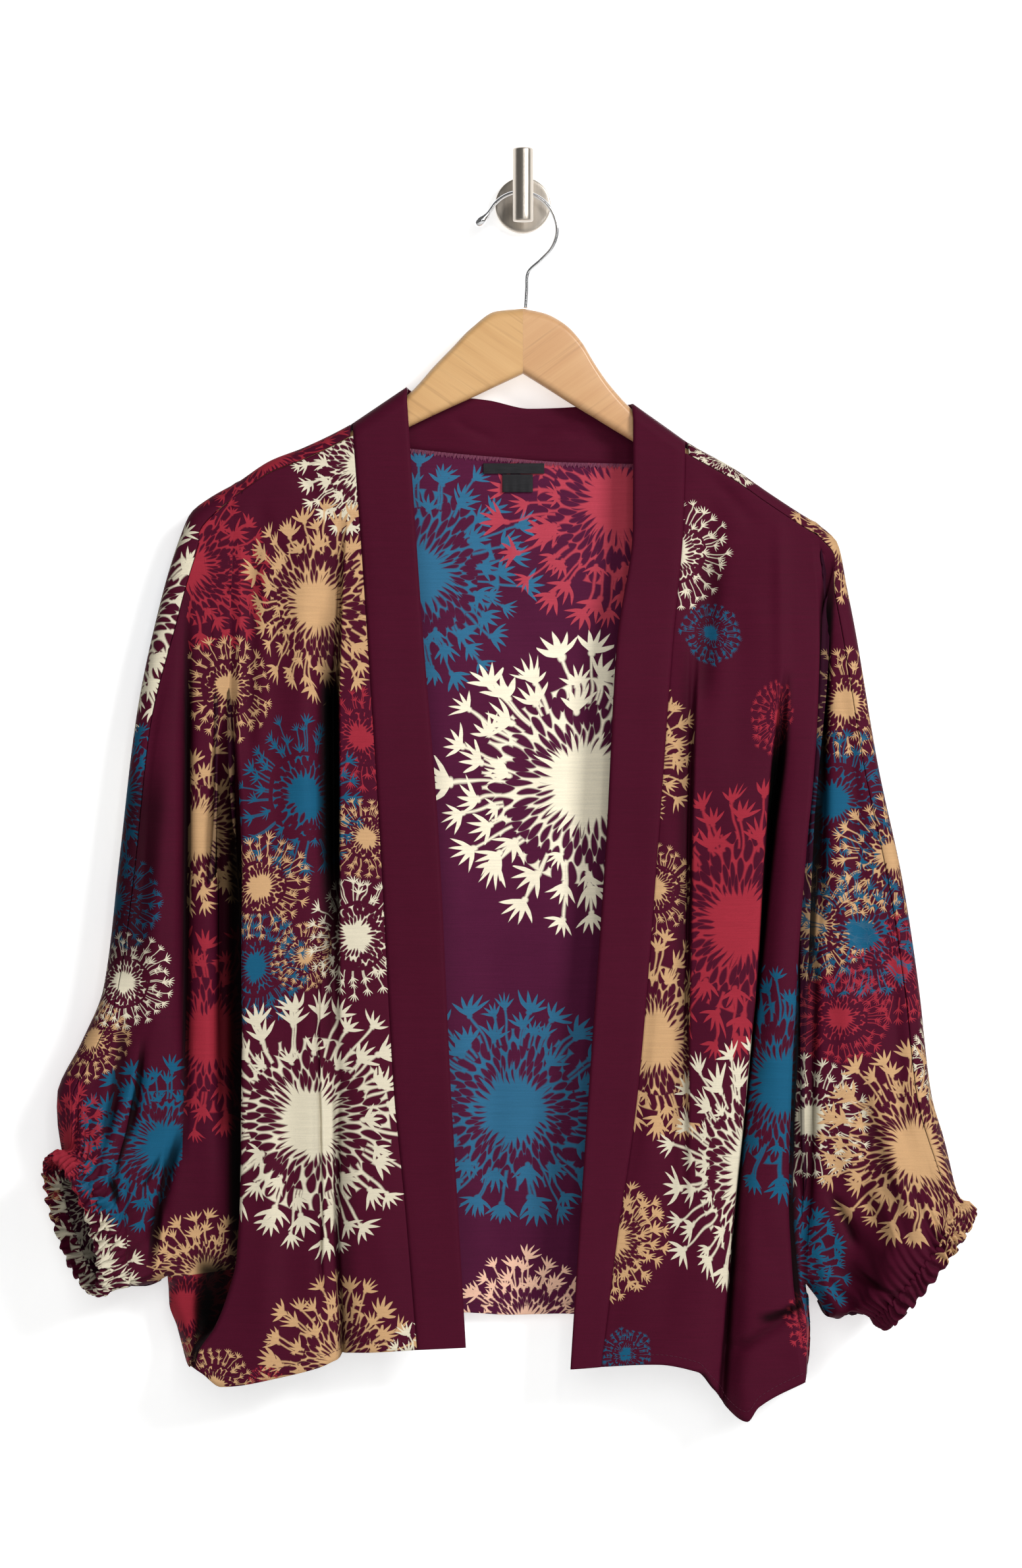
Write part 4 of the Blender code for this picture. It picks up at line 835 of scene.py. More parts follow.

# Pleats whose edge laps over the cloth beside it: their line, how far the edge comes over, and the gap's
# depth and painted shade; under tells on which side the cloth goes beneath
PLEAT_ROW = "z x over deep dark run"
PLEATS = {
    "right": (
        dict(
            path=table(
                PLEAT_ROW, (-215, -122, 0, 0, 0, 9), (-262, -122, 3, 5, 0.25, 9),
                (-318, -121.8, 5, 8, 0.6, 11), (-345, -121.5, 6, 10, 1, 15), (-450, -121, 6, 10, 1, 15),
                (-505, -121.5, 4.5, 6, 0.8, 13), (-560, -122, 2.5, 3, 0.4, 10), (-610, -123, 0, 0, 0, 9),
            ),
            under=-1.0, spread=8.0,
        ),
        dict(
            path=table(
                PLEAT_ROW, (-470, -138, 0, 0, 0, 7), (-540, -138, 3, 3, 0.15, 7),
                (-640, -138, 5, 4, 0.2, 7), (-720, -138, 4.5, 4, 0.2, 7), (-780, -138, 0, 0, 0, 7),
            ),
            under=-1.0, spread=4.0,
        ),
        dict(
            path=table(
                PLEAT_ROW, (-585, -130, 0, 0, 0, 8), (-650, -131, 3, 4, 0.4, 8),
                (-740, -132, 4, 6, 0.5, 8), (-816, -131.5, 4, 7, 0.55, 8),
            ),
            under=1.0, spread=12.0,
        ),
    ),
    "left": (
        dict(
            path=table(
                PLEAT_ROW, (-300, 123.5, 0, 0, 0, 8), (-360, 122.5, 2, 5, 0.4, 8),
                (-450, 121, 3, 7, 0.55, 8), (-560, 119, 3, 6, 0.5, 8), (-640, 117, 1.5, 3, 0.25, 8),
                (-710, 115, 0, 0, 0, 8),
            ),
            under=-1.0, spread=9.0,
        ),
        dict(
            path=table(
                PLEAT_ROW, (-326, 181, 0, 0, 0, 5), (-350, 175.5, 2, 4, 0.5, 9),
                (-375, 171.5, 3, 7, 0.9, 12), (-398, 168.5, 3.5, 9, 1, 13), (-463, 161.5, 5.5, 12, 1, 13),
                (-545, 156.0, 6, 10, 1, 10.5), (-626, 148.5, 6, 9, 0.95, 9), (-700, 141.5, 5, 8, 0.9, 9),
                (-800, 134, 3.5, 6, 0.7, 9), (-852, 131, 2, 3, 0.4, 9),
            ),
            under=1.0, spread=4.0,
        ),
    ),
}
PLEAT_LEAD = 34.0
PLEAT_RECOVER = 9.0
PLEAT_LIP = 0.12
PLEAT_LIP_REACH = 7.0
LAP_SHIFT = {
    "right": table("z x", (-380, 0), (-470, 5), (-700, 4.5), (-765, 0)),
    "left": table("z x", (-380, 0), (-520, -4), (-640, -5.5), (-700, -5.5), (-750, -4), (-790, 0)),
}

# Painted shade in narrow gaps that little light reaches, given as the creases are, with their darkness last
SHADE = "x0 z0 x1 z1 bend width dark"
SHADES = {
    "right": table(
        SHADE, (-199.5, -340, -198.5, -830, 0, 7.5, 0.98), (-234, -255, -235, -690, -1, 3.0, 0.85),
        (-235, -640, -259, -752, 3, 3.4, 0.8), (-264, -578, -284, -692, -4.5, 2.2, 0.85),
        (-276, -560, -292, -664, -2, 4.0, 0.5), (-251, -664, -265, -690, 0, 1.3, 0.7),
        (-284, -676, -279, -698, 0, 2.6, 0.95), (-262, -380, -284, -560, -3, 16, 0.6),
        (-214, -728, -217, -800, 0, 13, 0.97), (-222, -752, -226, -822, 0, 7, 0.9),
    ),
    "left": table(
        SHADE, (215, -240, 203.5, -440, 0, 4.8, 0.97), (204.5, -385, 197.5, -560, 0, 4.4, 0.97),
        (198.5, -480, 184.5, -720, 0, 3.6, 0.96), (186, -670, 191, -790, 0, 3.4, 0.92),
        (236, -600, 262, -712, 5, 5, 0.35), (211, -692, 231, -730, -3, 2.6, 0.5),
        (229, -742, 264, -756, 5, 1.8, 0.5),
    ),
    "body": table(SHADE, (160, -777, 203, -763, 3, 3.2, 0.85), (118, -812, 132, -836, 0, 3.5, 0.8)),
}

# Lines where a pleat hides some cloth, so that the print jumps
PLEAT = {
    "right": table(
        "z x", (-200, -236), (-265, -234.6), (-411, -232), (-604, -235), (-661, -237), (-690, -246),
        (-704, -253), (-734, -261),
    ),
    "left": table(
        "z x", (-200, 300), (-384, 300), (-386, 171), (-463, 167), (-545, 160), (-626, 152), (-700, 145),
        (-850, 134),
    ),
}

SOFT_FOLD = table(
    "z x", (-200, 300), (-330, 300), (-332, 122), (-450, 120.5), (-560, 118.5), (-640, 116.5),
    (-642, 300), (-850, 300),
)

# Soft folds that hide some of the print: their place, half width, half height, and how much each side loses
HIDDEN_PRINT = {
    "right": ((-174, -300, 12.0, 85.0, 13.0),),
    "left": ((177, -361, 8.0, 42.0, 12.0), (125, -676, 18.0, 95.0, 15.0)),
}

# Colours of the print and of the rest, in linear light
GROUND = (0.061, 0.0040, 0.0165)
WRONG_GROUND = (0.078, 0.0090, 0.036)
WRONG_TINT = (1.35, 1.35, 1.35)
WRONG_LIFT = (0.02, 0.02, 0.025)
CLOUD_TONES = (0.86, 1.14)
INK_COVER = 0.96
INKS = {
    "cream": (0.69, 0.63, 0.48),
    "tan": (0.56, 0.34, 0.17),
    "rose": (0.31, 0.022, 0.038),
    "blue": (0.0065, 0.092, 0.175),
    "blush": (0.66, 0.40, 0.28),
}

# Seed heads of the print by cloth and part of it: middle, radius, ink, and 1 for the fine kind
BLOOMS = {
    "front_right": {
        "body": (
            (-109, -184, 52, "cream", 0), (-236, -256, 62, "rose", 0), (-113, -375, 38, "rose", 1),
            (-149, -416, 60, "blue", 1), (-143, -282, 72, "tan", 0), (-204, -340, 40, "tan", 1),
            (-109, -444, 30, "tan", 1), (-182, -478, 38, "tan", 1), (-151, -526, 26, "tan", 1),
            (-185, -534, 40, "blue", 1), (-116, -513, 46, "cream", 1), (-145, -642, 92, "cream", 0),
            (-124, -812, 66, "tan", 0), (-58, -830, 52, "cream", 0), (-214, -824, 30, "tan", 1),
            (-178, -822, 14, "rose", 1),
        ),
        "inner": (
            (-236, -256, 62, "rose", 0), (-204, -340, 40, "tan", 1), (-227, -440, 60, "tan", 0),
            (-218, -583, 78, "rose", 0), (-221, -752, 48, "tan", 0),
        ),
        "flank": (
            (-236, -772, 44, "rose", 0), (-222, -816, 30, "tan", 1),
        ),
        "outer": (
            (-251, -659, 62, "blue", 0), (-277, -545, 35, "cream", 1), (-300, -584, 30, "tan", 1),
            (-318, -658, 42, "rose", 0), (-321, -756, 60, "cream", 0), (-284, -490, 36, "blue", 1),
        ),
    },
    "front_left": {
        "body": (
            (107, -246, 41, "cream", 1), (131, -302, 23, "blue", 1), (66, -389, 60, "tan", 0),
            (92, -480, 33, "tan", 1), (91, -583, 76, "tan", 0), (60, -724, 44, "tan", 0),
            (154, -674, 97, "cream", 0), (71, -802, 19, "blue", 1),
        ),
        "middle": (
            (177, -361, 28, "rose", 1), (153, -503, 96, "rose", 0), (154, -674, 97, "cream", 0),
        ),
        "outer": (
            (180, -614, 86, "blue", 0), (214, -782, 24, "rose", 0),
        ),
        "inner": (
            (225, -351, 42, "tan", 1), (217, -419, 52, "blue", 1), (257, -458, 46, "tan", 1),
            (203, -505, 42, "tan", 1), (263, -536, 38, "rose", 1), (236, -512, 50, "blue", 1),
            (221, -570, 36, "rose", 1), (199.5, -641, 46, "cream", 1), (271, -663, 72, "tan", 0),
            (177, -742, 52, "blue", 0), (196, -790, 22, "rose", 1),
        ),
    },
    "back": {
        "back": (
            (-75, -259, 86, "blue", 0), (69, -211, 92, "rose", 0), (43, -407, 107, "cream", 0),
            (-7, -636, 86, "blue", 0), (2, -790, 56, "blush", 0), (-150, -335, 72, "tan", 0),
            (-128, -470, 66, "rose", 0), (-140, -610, 84, "cream", 0), (-112, -736, 52, "tan", 1),
            (140, -318, 66, "tan", 1), (150, -500, 78, "blue", 0), (112, -590, 46, "tan", 1),
            (118, -716, 72, "rose", 0), (186, -640, 48, "cream", 1), (-172, -225, 46, "cream", 1),
            (150, -226, 44, "cream", 0), (-226, -300, 56, "blue", 0), (-240, -420, 60, "cream", 0),
            (-232, -545, 62, "tan", 0), (-288, -600, 48, "rose", 1), (-252, -660, 56, "blue", 1),
            (-296, -700, 46, "cream", 0), (226, -310, 46, "tan", 0), (228, -420, 56, "blue", 1),
            (240, -530, 60, "rose", 0), (262, -640, 62, "tan", 0), (216, -700, 48, "cream", 1),
        ),
        "strip": (
            (-286, -290, 92, "cream", 0), (-180, -178, 60, "rose", 0), (-284, -418, 60, "blue", 0),
            (-284, -490, 36, "blue", 1), (-277, -545, 35, "cream", 1), (-300, -584, 30, "tan", 1),
            (-312, -658, 48, "rose", 0), (143, -180, 30, "cream", 0), (224, -240, 46, "tan", 0),
            (225, -351, 42, "tan", 1), (217, -419, 52, "blue", 1), (257, -458, 46, "tan", 1),
            (263, -536, 38, "rose", 1), (236, -512, 50, "blue", 1), (292, -600, 34, "cream", 1),
            (271, -663, 72, "tan", 0),
        ),
    },
    "cuff_right": {
        "cuff": (
            (-316, -664, 40, "rose", 0), (-251, -659, 62, "blue", 0), (-321, -756, 60, "cream", 0),
        ),
        "far": (
            (-322, -664, 38, "rose", 0), (-352, -700, 30, "tan", 1), (-262, -722, 86, "cream", 0),
        ),
    },
    "cuff_left": {
        "cuff": (
            (302, -690, 46, "tan", 0),
        ),
        "far": (
            (300, -700, 46, "tan", 1),
        ),
    },
}


def beside_line(line, x, z, end):
    """Distance aside of a bowed line, and a share that falls from 1 to 0 over a part of it at each end."""
    x0, z0, x1, z1, bend = line
    along = np.array([x1 - x0, z1 - z0])
    length = np.linalg.norm(along)
    t = ((x - x0) * along[0] + (z - z0) * along[1]) / length**2
    aside = ((x - x0) * along[1] - (z - z0) * along[0]) / length - 4 * bend * t * (1 - t)
    return aside, step(0.0, end, t) * (1 - step(1 - end, 1.0, t))


def crease_depth(creases, x, z):
    """How deep the creases press the cloth in at places in plan."""
    depth = np.zeros(np.shape(x))
    for *line, width, deep in zip(*creases.values()):
        aside, ends = beside_line(line, x, z, CREASE_END)
        depth = depth + deep * ends * np.exp(-((aside / width) ** 2))
    return depth


def gap_light(lines, x, z):
    """Painted shade in the narrow gaps: the share of light that reaches the cloth there."""
    light = np.ones(x.shape)
    for *line, width, dark in zip(*lines.values()):
        aside, ends = beside_line(line, x, z, SHADE_END)
        light = light * (1 - dark * ends * np.exp(-((aside / width) ** 6)))
    return light


def slack(x, z):
    """Small unevenness of hanging cloth, the same on each run."""
    wave = 0.45 * np.sin(x / 13.0 + 1.7 * np.sin(z / 61.0)) * np.sin(z / 83.0 + x / 140.0)
    return wave + 0.18 * np.sin(x / 5.1 + z / 37.0 + 2.0 * np.sin(z / 23.0))


def gather_wave(side, degrees):
    """Rise and fall of a cuff's gathers round its rim, uneven in width and height."""
    angle = np.radians(degrees)
    start = 0.0 if side == "right" else 2.1
    phase = RUFFLES * angle + 1.5 * np.sin(3 * angle + start) + 0.9 * np.sin(8 * angle + 2 * start)
    size = 1 + 0.35 * np.sin(5 * angle + start) + 0.25 * np.sin(11 * angle + 1.3)
    return size * np.cos(phase)


def gather_length(side, degrees):
    """How far each gather runs up its sleeve."""
    angle = np.radians(degrees)
    start = 0.6 if side == "right" else 1.9
    mean, slow, quick = GATHER_RUN
    return mean + slow * np.sin(7 * angle + start) + quick * np.sin(13 * angle + 3 * start)


def sleeve_gathers(side, turns, to_cuff):
    """Height of the gathers on a sleeve, greatest at the cuff."""
    fade = np.exp(-to_cuff / gather_length(side, turns)[:, None])
    angle = np.radians(turns)
    ripple = np.cos(angle * RUFFLES / 4 + 1.0 + 1.5 * np.sin(angle * 5))[:, None]
    broad = step(0.0, RIPPLE["start"], to_cuff) * np.exp(-to_cuff / RIPPLE["fade"])
    return GATHER_HEIGHT * gather_wave(side, turns)[:, None] * fade + RIPPLE["height"] * ripple * broad


def sleeve_fade(side, skin, to_cuff):
    """Share of a sleeve's creases that is left near its lower edge and its cuff."""
    from_edge = edge_distance(side, skin[..., 0], skin[..., 2])
    return step(0.0, FADE["edge"], from_edge) * step(0.0, FADE["cuff"], to_cuff)


def gather_light(gathers):
    """Painted shade between the gathers: the share of light that is left there."""
    return 1 - GATHER_SHADE * step(0.2, 2.2, -gathers)


def fold_light(depth):
    """Painted shade in creases: the share of light that is left in them by their depth."""
    return np.exp(-np.maximum(depth - SHADE_START, 0.0) / SHADE_DEPTH)


def cuff_distance(skin):
    """Distance of a sleeve's points from its end, along its rows."""
    steps = np.linalg.norm(np.diff(skin, axis=1), axis=2)
    return np.concatenate([np.cumsum(steps[:, ::-1], axis=1)[:, ::-1], np.zeros((len(skin), 1))], axis=1)


def arc_across(skin, start):
    """Print coordinate across the cloth: plan x at the start column, then length along each row."""
    steps = np.hypot(np.diff(skin[..., 0], axis=1), np.diff(skin[..., 1], axis=1))
    steps = steps * np.sign(skin[0, -1, 0] - skin[0, 0, 0])
    run = np.concatenate([np.zeros((len(skin), 1)), np.cumsum(steps, axis=1)], axis=1)
    return skin[:, start, 0][:, None] + run - run[:, start][:, None]


def edge_shift(skin, edge, flat):
    """How far the print moves outwards, in plan, where the cloth turns from a flat row to an edge row."""
    first, last = min(edge, flat), max(edge, flat)
    steps = np.diff(skin[first:last + 1], axis=0)
    excess = np.linalg.norm(steps, axis=2) - np.hypot(steps[..., 0], steps[..., 2])
    run = np.concatenate([np.zeros((1, skin.shape[1])), np.cumsum(excess, axis=0)])
    if flat > edge:
        run = run[-1] - run
    outward = (skin[edge] - skin[flat])[:, [0, 2]]
    outward = outward / np.maximum(np.linalg.norm(outward, axis=1, keepdims=True), 0.01)
    shift = np.zeros((*skin.shape[:2], 2))
    shift[first:last + 1] = run[..., None] * outward
    return shift


def pleat_moves(side, x, z):
    """How far the pleats bring the cloth across and in, and the painted shade in their gaps, as a share of
    light.
    """
    across, deep, light = np.zeros(x.shape), np.zeros(x.shape), np.ones(x.shape)
    for pleat in PLEATS[side]:
        line, over, depth, dark, run = (read(pleat["path"], "z", name, z) for name in PLEAT_ROW.split()[1:])
        beside = (x - line) * pleat["under"]
        lead = step(-PLEAT_LEAD, 0.0, beside) * (1 - step(0.0, run, beside))
        across = across + pleat["under"] * over * lead
        bottom = np.sin(math.pi * np.clip(beside / run, 0, 1)) + 0.25 * step(2.0, run, beside)
        deep = deep + depth * bottom * np.exp(-np.maximum(beside - run, 0) / PLEAT_RECOVER)
        lip = np.exp(-((np.minimum(beside, 0) / PLEAT_LIP_REACH) ** 2)) * (beside < 0.5)
        deep = deep - PLEAT_LIP * depth * lip
        gap = step(-0.5, 1.2, beside) * (1 - step(run - 1.0, run + pleat["spread"], beside))
        light = light * (1 - dark * gap)
    return across, deep, light


def front_cloth(side):
    """Fine skin of a front with its folds, its cells, the region of each cell, its print and its light."""
    skin = front_skin(side)
    rows, columns = skin.shape[:2]
    cells = np.ones((rows - 1, columns - 1), bool)
    cells[UNDER_ROW:, SLEEVE_START + SIDE_COLUMN:] = False
    facing = -OUTWARD[side]
    normals = skin_normals(skin, cells, facing)
    x, z = skin[..., 0], skin[..., 2]
    body, sleeve = slice(0, SLEEVE_START), slice(SLEEVE_START, None)
    depth = crease_depth(BODY_CREASES[side], x, z)
    beyond_lap = slice(LAP_START + len(LAP_SHARES) // 2, None)
    depth[:, beyond_lap] = crease_depth(SLEEVE_CREASES[side], x[:, beyond_lap], z[:, beyond_lap])
    lap = np.zeros(columns)
    lap[LAP_START:SLEEVE_START] = np.sin(np.linspace(0, math.pi, SLEEVE_START - LAP_START)) ** 0.5
    turn = read(LAP[side], "z", "turn", z)
    depth = depth * (1 - lap * np.minimum(turn / LAP_STIFF, 1.0)) + slack(x, z)
    to_cuff = cuff_distance(skin[:, sleeve])
    fade = step(0.0, FADE["shoulder"], np.linalg.norm(skin - skin[:1], axis=2))
    fade = fade * step(0.0, FADE["band"], np.linalg.norm(skin - skin[:, :1], axis=2))
    fade[:, sleeve] *= sleeve_fade(side, skin[:, sleeve], to_cuff)
    depth = depth * fade
    gathers = sleeve_gathers(side, front_turns(side), to_cuff)
    depth[:, sleeve] -= gathers
    across, deep, light = pleat_moves(side, x[:, body], z[:, body])
    shares = np.append(step(0.6, 1.0, BODY), 1 - step(0.3, 1.0, LAP_SHARES[1:-1]))
    across = across + read(LAP_SHIFT[side], "z", "x", z[:, body]) * shares
    skin = skin - normals * depth[..., None]
    skin[:, body, 0] += across * fade[:, body]
    skin[:, body, 1] += deep * fade[:, body]
    skin[:, 0] += np.array([-OUTWARD[side] * SEAM_INLAY, SEAM_INLAY / 3, 0.0])
    skin[:, -1] += ring_axes(side)[2] * CUFF_INLAY
    # Painted shade: darker in deep creases, in the pleats' gaps, on the body's own shade lines, beside and
    # behind the lap, and between gathers
    shade = fold_light(depth)
    shade[:, body] *= light * gap_light(SHADES["body"], x[:, body], z[:, body])
    behind = slice(LAP_START + len(LAP_SHARES) // 3, None)
    shade[:, behind] *= gap_light(SHADES[side], x[:, behind], z[:, behind])
    shade[:, sleeve] *= gather_light(gathers)
    middle_x, middle_z = ((part[1:, 1:] + part[:-1, :-1]) / 2 for part in (x, z))
    beyond = (middle_x - read(PLEAT[side], "z", "x", middle_z)) * OUTWARD[side] > 0
    region = np.full(cells.shape, "body", dtype="<U6")
    region[:, sleeve] = "inner"
    if side == "right":
        region[:, sleeve][beyond[:, sleeve]] = "outer"
        region[UNDER_ROW:, sleeve] = "flank"
    else:
        near_fold = middle_x[:, :LAP_START] > read(SOFT_FOLD, "z", "x", middle_z[:, :LAP_START])
        region[:, :LAP_START][near_fold] = "middle"
        region[:, body][beyond[:, body]] = "outer"
    across = arc_across(skin, 0)
    for x0, z0, wide, tall, hidden in HIDDEN_PRINT[side]:
        across = across + hidden * np.tanh((x - x0) / wide) * np.exp(-(((z - z0) / tall) ** 2))
    across[:, sleeve] = skin[:, sleeve, 0]
    places = np.stack([across, skin[..., 2]], axis=2) + edge_shift(skin, 0, TURN_FLAT)
    # The wrong side of a front carries the darker painted shade of a sleeve's inside all over
    return skin, cells, facing, region, (places, places), shade, np.full(x.shape, SLEEVE_INSIDE_SHADE)


def back_cloth():
    """Fine skin of the back with its sleeves, as front_cloth gives a front's."""
    starts = {side: float(lap_line(side, np.array(lap_top(side)))[0]) for side in OUTWARD}
    across = np.concatenate([
        np.linspace(starts["right"], NECK_COLUMNS[0], SHOULDER_COLUMNS)[1:-1],
        NECK_COLUMNS,
        np.linspace(NECK_COLUMNS[-1], starts["left"], SHOULDER_COLUMNS)[1:-1],
    ])
    middle = back_body(across, ABOVE, BELOW)
    skin = np.concatenate([back_sleeve("right")[:, ::-1], middle, back_sleeve("left")], axis=1)
    rows, columns = skin.shape[:2]
    right = np.arange(len(SLEEVE))[::-1]
    left = np.arange(columns - len(SLEEVE), columns)
    under_row = len(TURN_ROWS) + UNDER_ROW
    neck_start = len(SLEEVE) + SHOULDER_COLUMNS - 2
    neck = slice(neck_start, neck_start + len(NECK_COLUMNS))
    cells = np.ones((rows - 1, columns - 1), bool)
    cells[under_row:, :right[SIDE_COLUMN]] = False
    cells[under_row:, left[SIDE_COLUMN]:] = False
    cells[:len(TURN_ROWS), neck_start:neck.stop - 1] = False
    normals = skin_normals(skin, cells, 1.0)
    x, z = skin[..., 0], skin[..., 2]
    depth = crease_depth(BACK_CREASES, x, z) + slack(x + BACK_SLACK_SHIFT, z)
    fade = step(0.0, FADE["crest"], np.linalg.norm(skin - skin[CREST_ROW], axis=2))
    fade[:, neck] *= step(*FADE["neck"], skin[len(TURN_ROWS), neck, 2] - z[:, neck])
    # Painted shade: darker in deep creases, between gathers and in the gaps of the over-arm strip; the wrong
    # side's painted shade is full on the back and darker inside the sleeves
    shade = fold_light(depth)
    inside = np.ones(x.shape)
    for side, place in (("right", right), ("left", left)):
        to_cuff = cuff_distance(skin[:, place])
        fade[:, place] *= sleeve_fade(side, skin[:, place], to_cuff)
        gathers = sleeve_gathers(side, back_turns(side), to_cuff)
        depth[:, place] = depth[:, place] * fade[:, place] - gathers
        shade[:, place] *= gather_light(gathers)
        strip = np.ix_(range(CREST_ROW), place)
        shade[strip] *= gap_light(SHADES[side], x[strip], z[strip])
        inside[:, place] = SLEEVE_INSIDE_SHADE
    body = slice(len(SLEEVE), columns - len(SLEEVE))
    depth[:, body] *= fade[:, body]
    skin = skin - normals * depth[..., None]
    skin[:, 0] += ring_axes("right")[2] * CUFF_INLAY
    skin[:, -1] += ring_axes("left")[2] * CUFF_INLAY
    region = np.full(cells.shape, "back", dtype="<U6")
    region[:CREST_ROW] = "strip"
    rear = skin[..., [0, 2]] + edge_shift(skin, CREST_ROW, CREST_ROW + TURN_FLAT)
    strip = skin[..., [0, 2]] + edge_shift(skin, CREST_ROW, 0)
    return skin, cells, 1.0, region, (rear, strip), shade, inside


def put_in_scene(name, data):
    made = bpy.data.objects.new(name, data)
    bpy.context.scene.collection.objects.link(made)
    return made


def mesh_piece(name, points, faces, materials):
    """A smooth mesh from arrays of points, in millimetres, and of faces."""
    mesh = bpy.data.meshes.new(name)
    mesh.vertices.add(len(points))
    mesh.vertices.foreach_set("co", (np.asarray(points) * MM).astype(np.float32).ravel())
    faces = np.asarray(faces)
    mesh.loops.add(faces.size)
    mesh.loops.foreach_set("vertex_index", faces.ravel().astype(np.int32))
    mesh.polygons.add(len(faces))
    mesh.polygons.foreach_set("loop_start", np.arange(0, faces.size, faces.shape[1], dtype=np.int32))
    mesh.update(calc_edges=True)
    mesh.shade_smooth()
    for material in materials:
        mesh.materials.append(material)
    piece = put_in_scene(name, mesh)
    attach(piece, "root")
    return piece


def grid_faces(rows, columns, close_rows=False, close_columns=False):
    """Four-sided faces between the points of a grid, each way left open or closed into a ring."""
    counts = rows - (not close_rows), columns - (not close_columns)
    i, j = np.meshgrid(*map(np.arange, counts), indexing="ij")
    down, along = (i + 1) % rows, (j + 1) % columns
    corners = [i * columns + j, i * columns + along, down * columns + along, down * columns + j]
    return np.stack(corners, axis=2).reshape(-1, 4)


def bloom_seed(x, z):
    """A number from 0.05 to 0.95 that is the seed head's own."""
    return 0.05 + 0.9 * ((x * 0.137 + z * 0.731) % 1)


def print_cloth(piece, name, regions, corners, plan):
    """Gives each face the seed heads that reach it: their own coordinates, ink and kind, layer by layer.

    corners holds the place of each face's corners in the print, and plan the face's middle in plan.
    """
    mesh = piece.data
    middles = corners.mean(axis=1)
    blooms = [(part, *bloom) for part, group in BLOOMS[name].items() for bloom in group]
    count = max(len(blooms), LAYERS)
    away = np.full((len(middles), count), np.inf)
    centres, radii, tints = np.zeros((count, 2)), np.ones(count), np.ones((count, 4))
    for k, (part, x, z, radius, ink, fine) in enumerate(blooms):
        own = np.nonzero(regions == part)[0]
        near = own[np.argmin(np.hypot(*(plan[own] - (x, z)).T))]
        centres[k] = middles[near] + (x, z) - plan[near]
        radii[k] = radius
        tints[k] = (*INKS[ink], fine + bloom_seed(x, z))
        away[own, k] = np.hypot(*(middles[own] - centres[k]).T) / radius
    nearest = np.sort(np.argsort(away, axis=1)[:, :LAYERS], axis=1)
    reached = np.take_along_axis(away, nearest, axis=1) < BLOOM_REACH
    order = np.argsort(~reached, axis=1, kind="stable")
    nearest = np.take_along_axis(nearest, order, axis=1)
    reached = np.take_along_axis(reached, order, axis=1)
    mesh.polygons.foreach_set("material_index", (2 * reached.sum(axis=1)).astype(np.int32))
    for layer in range(LAYERS):
        chosen = nearest[:, layer]
        uv = (corners - centres[chosen][:, None]) / radii[chosen][:, None, None]
        uv[~reached[:, layer]] = NOWHERE
        place = mesh.uv_layers.new(name=f"bloom_{layer + 1}", do_init=False)
        place.data.foreach_set("uv", uv.astype(np.float32).ravel())
        ink = mesh.attributes.new(f"ink_{layer + 1}", "FLOAT_COLOR", "FACE")
        ink.data.foreach_set("color", tints[chosen].astype(np.float32).ravel())


def sheet_faces(cells, facing):
    """The points that a skin's cells use, and its faces, by numbers among those points and among all."""
    used = np.zeros(np.add(cells.shape, 1), bool)
    for down in (slice(None, -1), slice(1, None)):
        for across in (slice(None, -1), slice(1, None)):
            used[down, across] |= cells
    corners = grid_faces(*used.shape)[cells.ravel()][:, ::int(facing)]
    return used, (np.cumsum(used) - 1)[corners], corners


def set_light(piece, shade, inside):
    """Keeps painted shade, as a share of light, on the face (attribute shade) and on the wrong side
    (attribute inside) at each point, for the materials to multiply into the cloth's colour.
    """
    for name, values in (("shade", shade), ("inside", inside)):
        light = piece.data.attributes.new(name, "FLOAT", "POINT")
        light.data.foreach_set("value", values.astype(np.float32).ravel())


def thicken(piece, thick):
    wall = piece.modifiers.new("wall", "SOLIDIFY")
    wall.thickness = thick * MM
    wall.offset = -1.0
    wall.material_offset = 1
    return piece


def make_panel(name, cloth, materials, thick):
    """A printed panel: its fine skin with the print, thickened inwards to a wall."""
    skin, cells, facing, region, places, shade, inside = cloth
    used, faces, corners = sheet_faces(cells, facing)
    piece = mesh_piece(f"{name}_cloth", skin[used], faces, materials)
    set_light(piece, shade[used], inside[used])
    plan = skin[..., [0, 2]].reshape(-1, 2)[corners].mean(axis=1)
    main, strip = (place.reshape(-1, 2)[corners] for place in places)
    own = np.where((region[cells] == "strip")[:, None, None], strip, main)
    print_cloth(piece, name, region[cells], own, plan)
    return thicken(piece, thick)


def hang_wave(side, share, z):
    """Gentle sway of a band, greatest at its free edge."""
    sway = 0.0
    for times, (size, length) in enumerate(BAND_SWAYS, start=1):
        sway = sway + size * np.sin(z / length + times * BAND_SWAY_START[side])
    return (1 - share) * sway * (1 - step(*BAND_SWAY_Z, z))


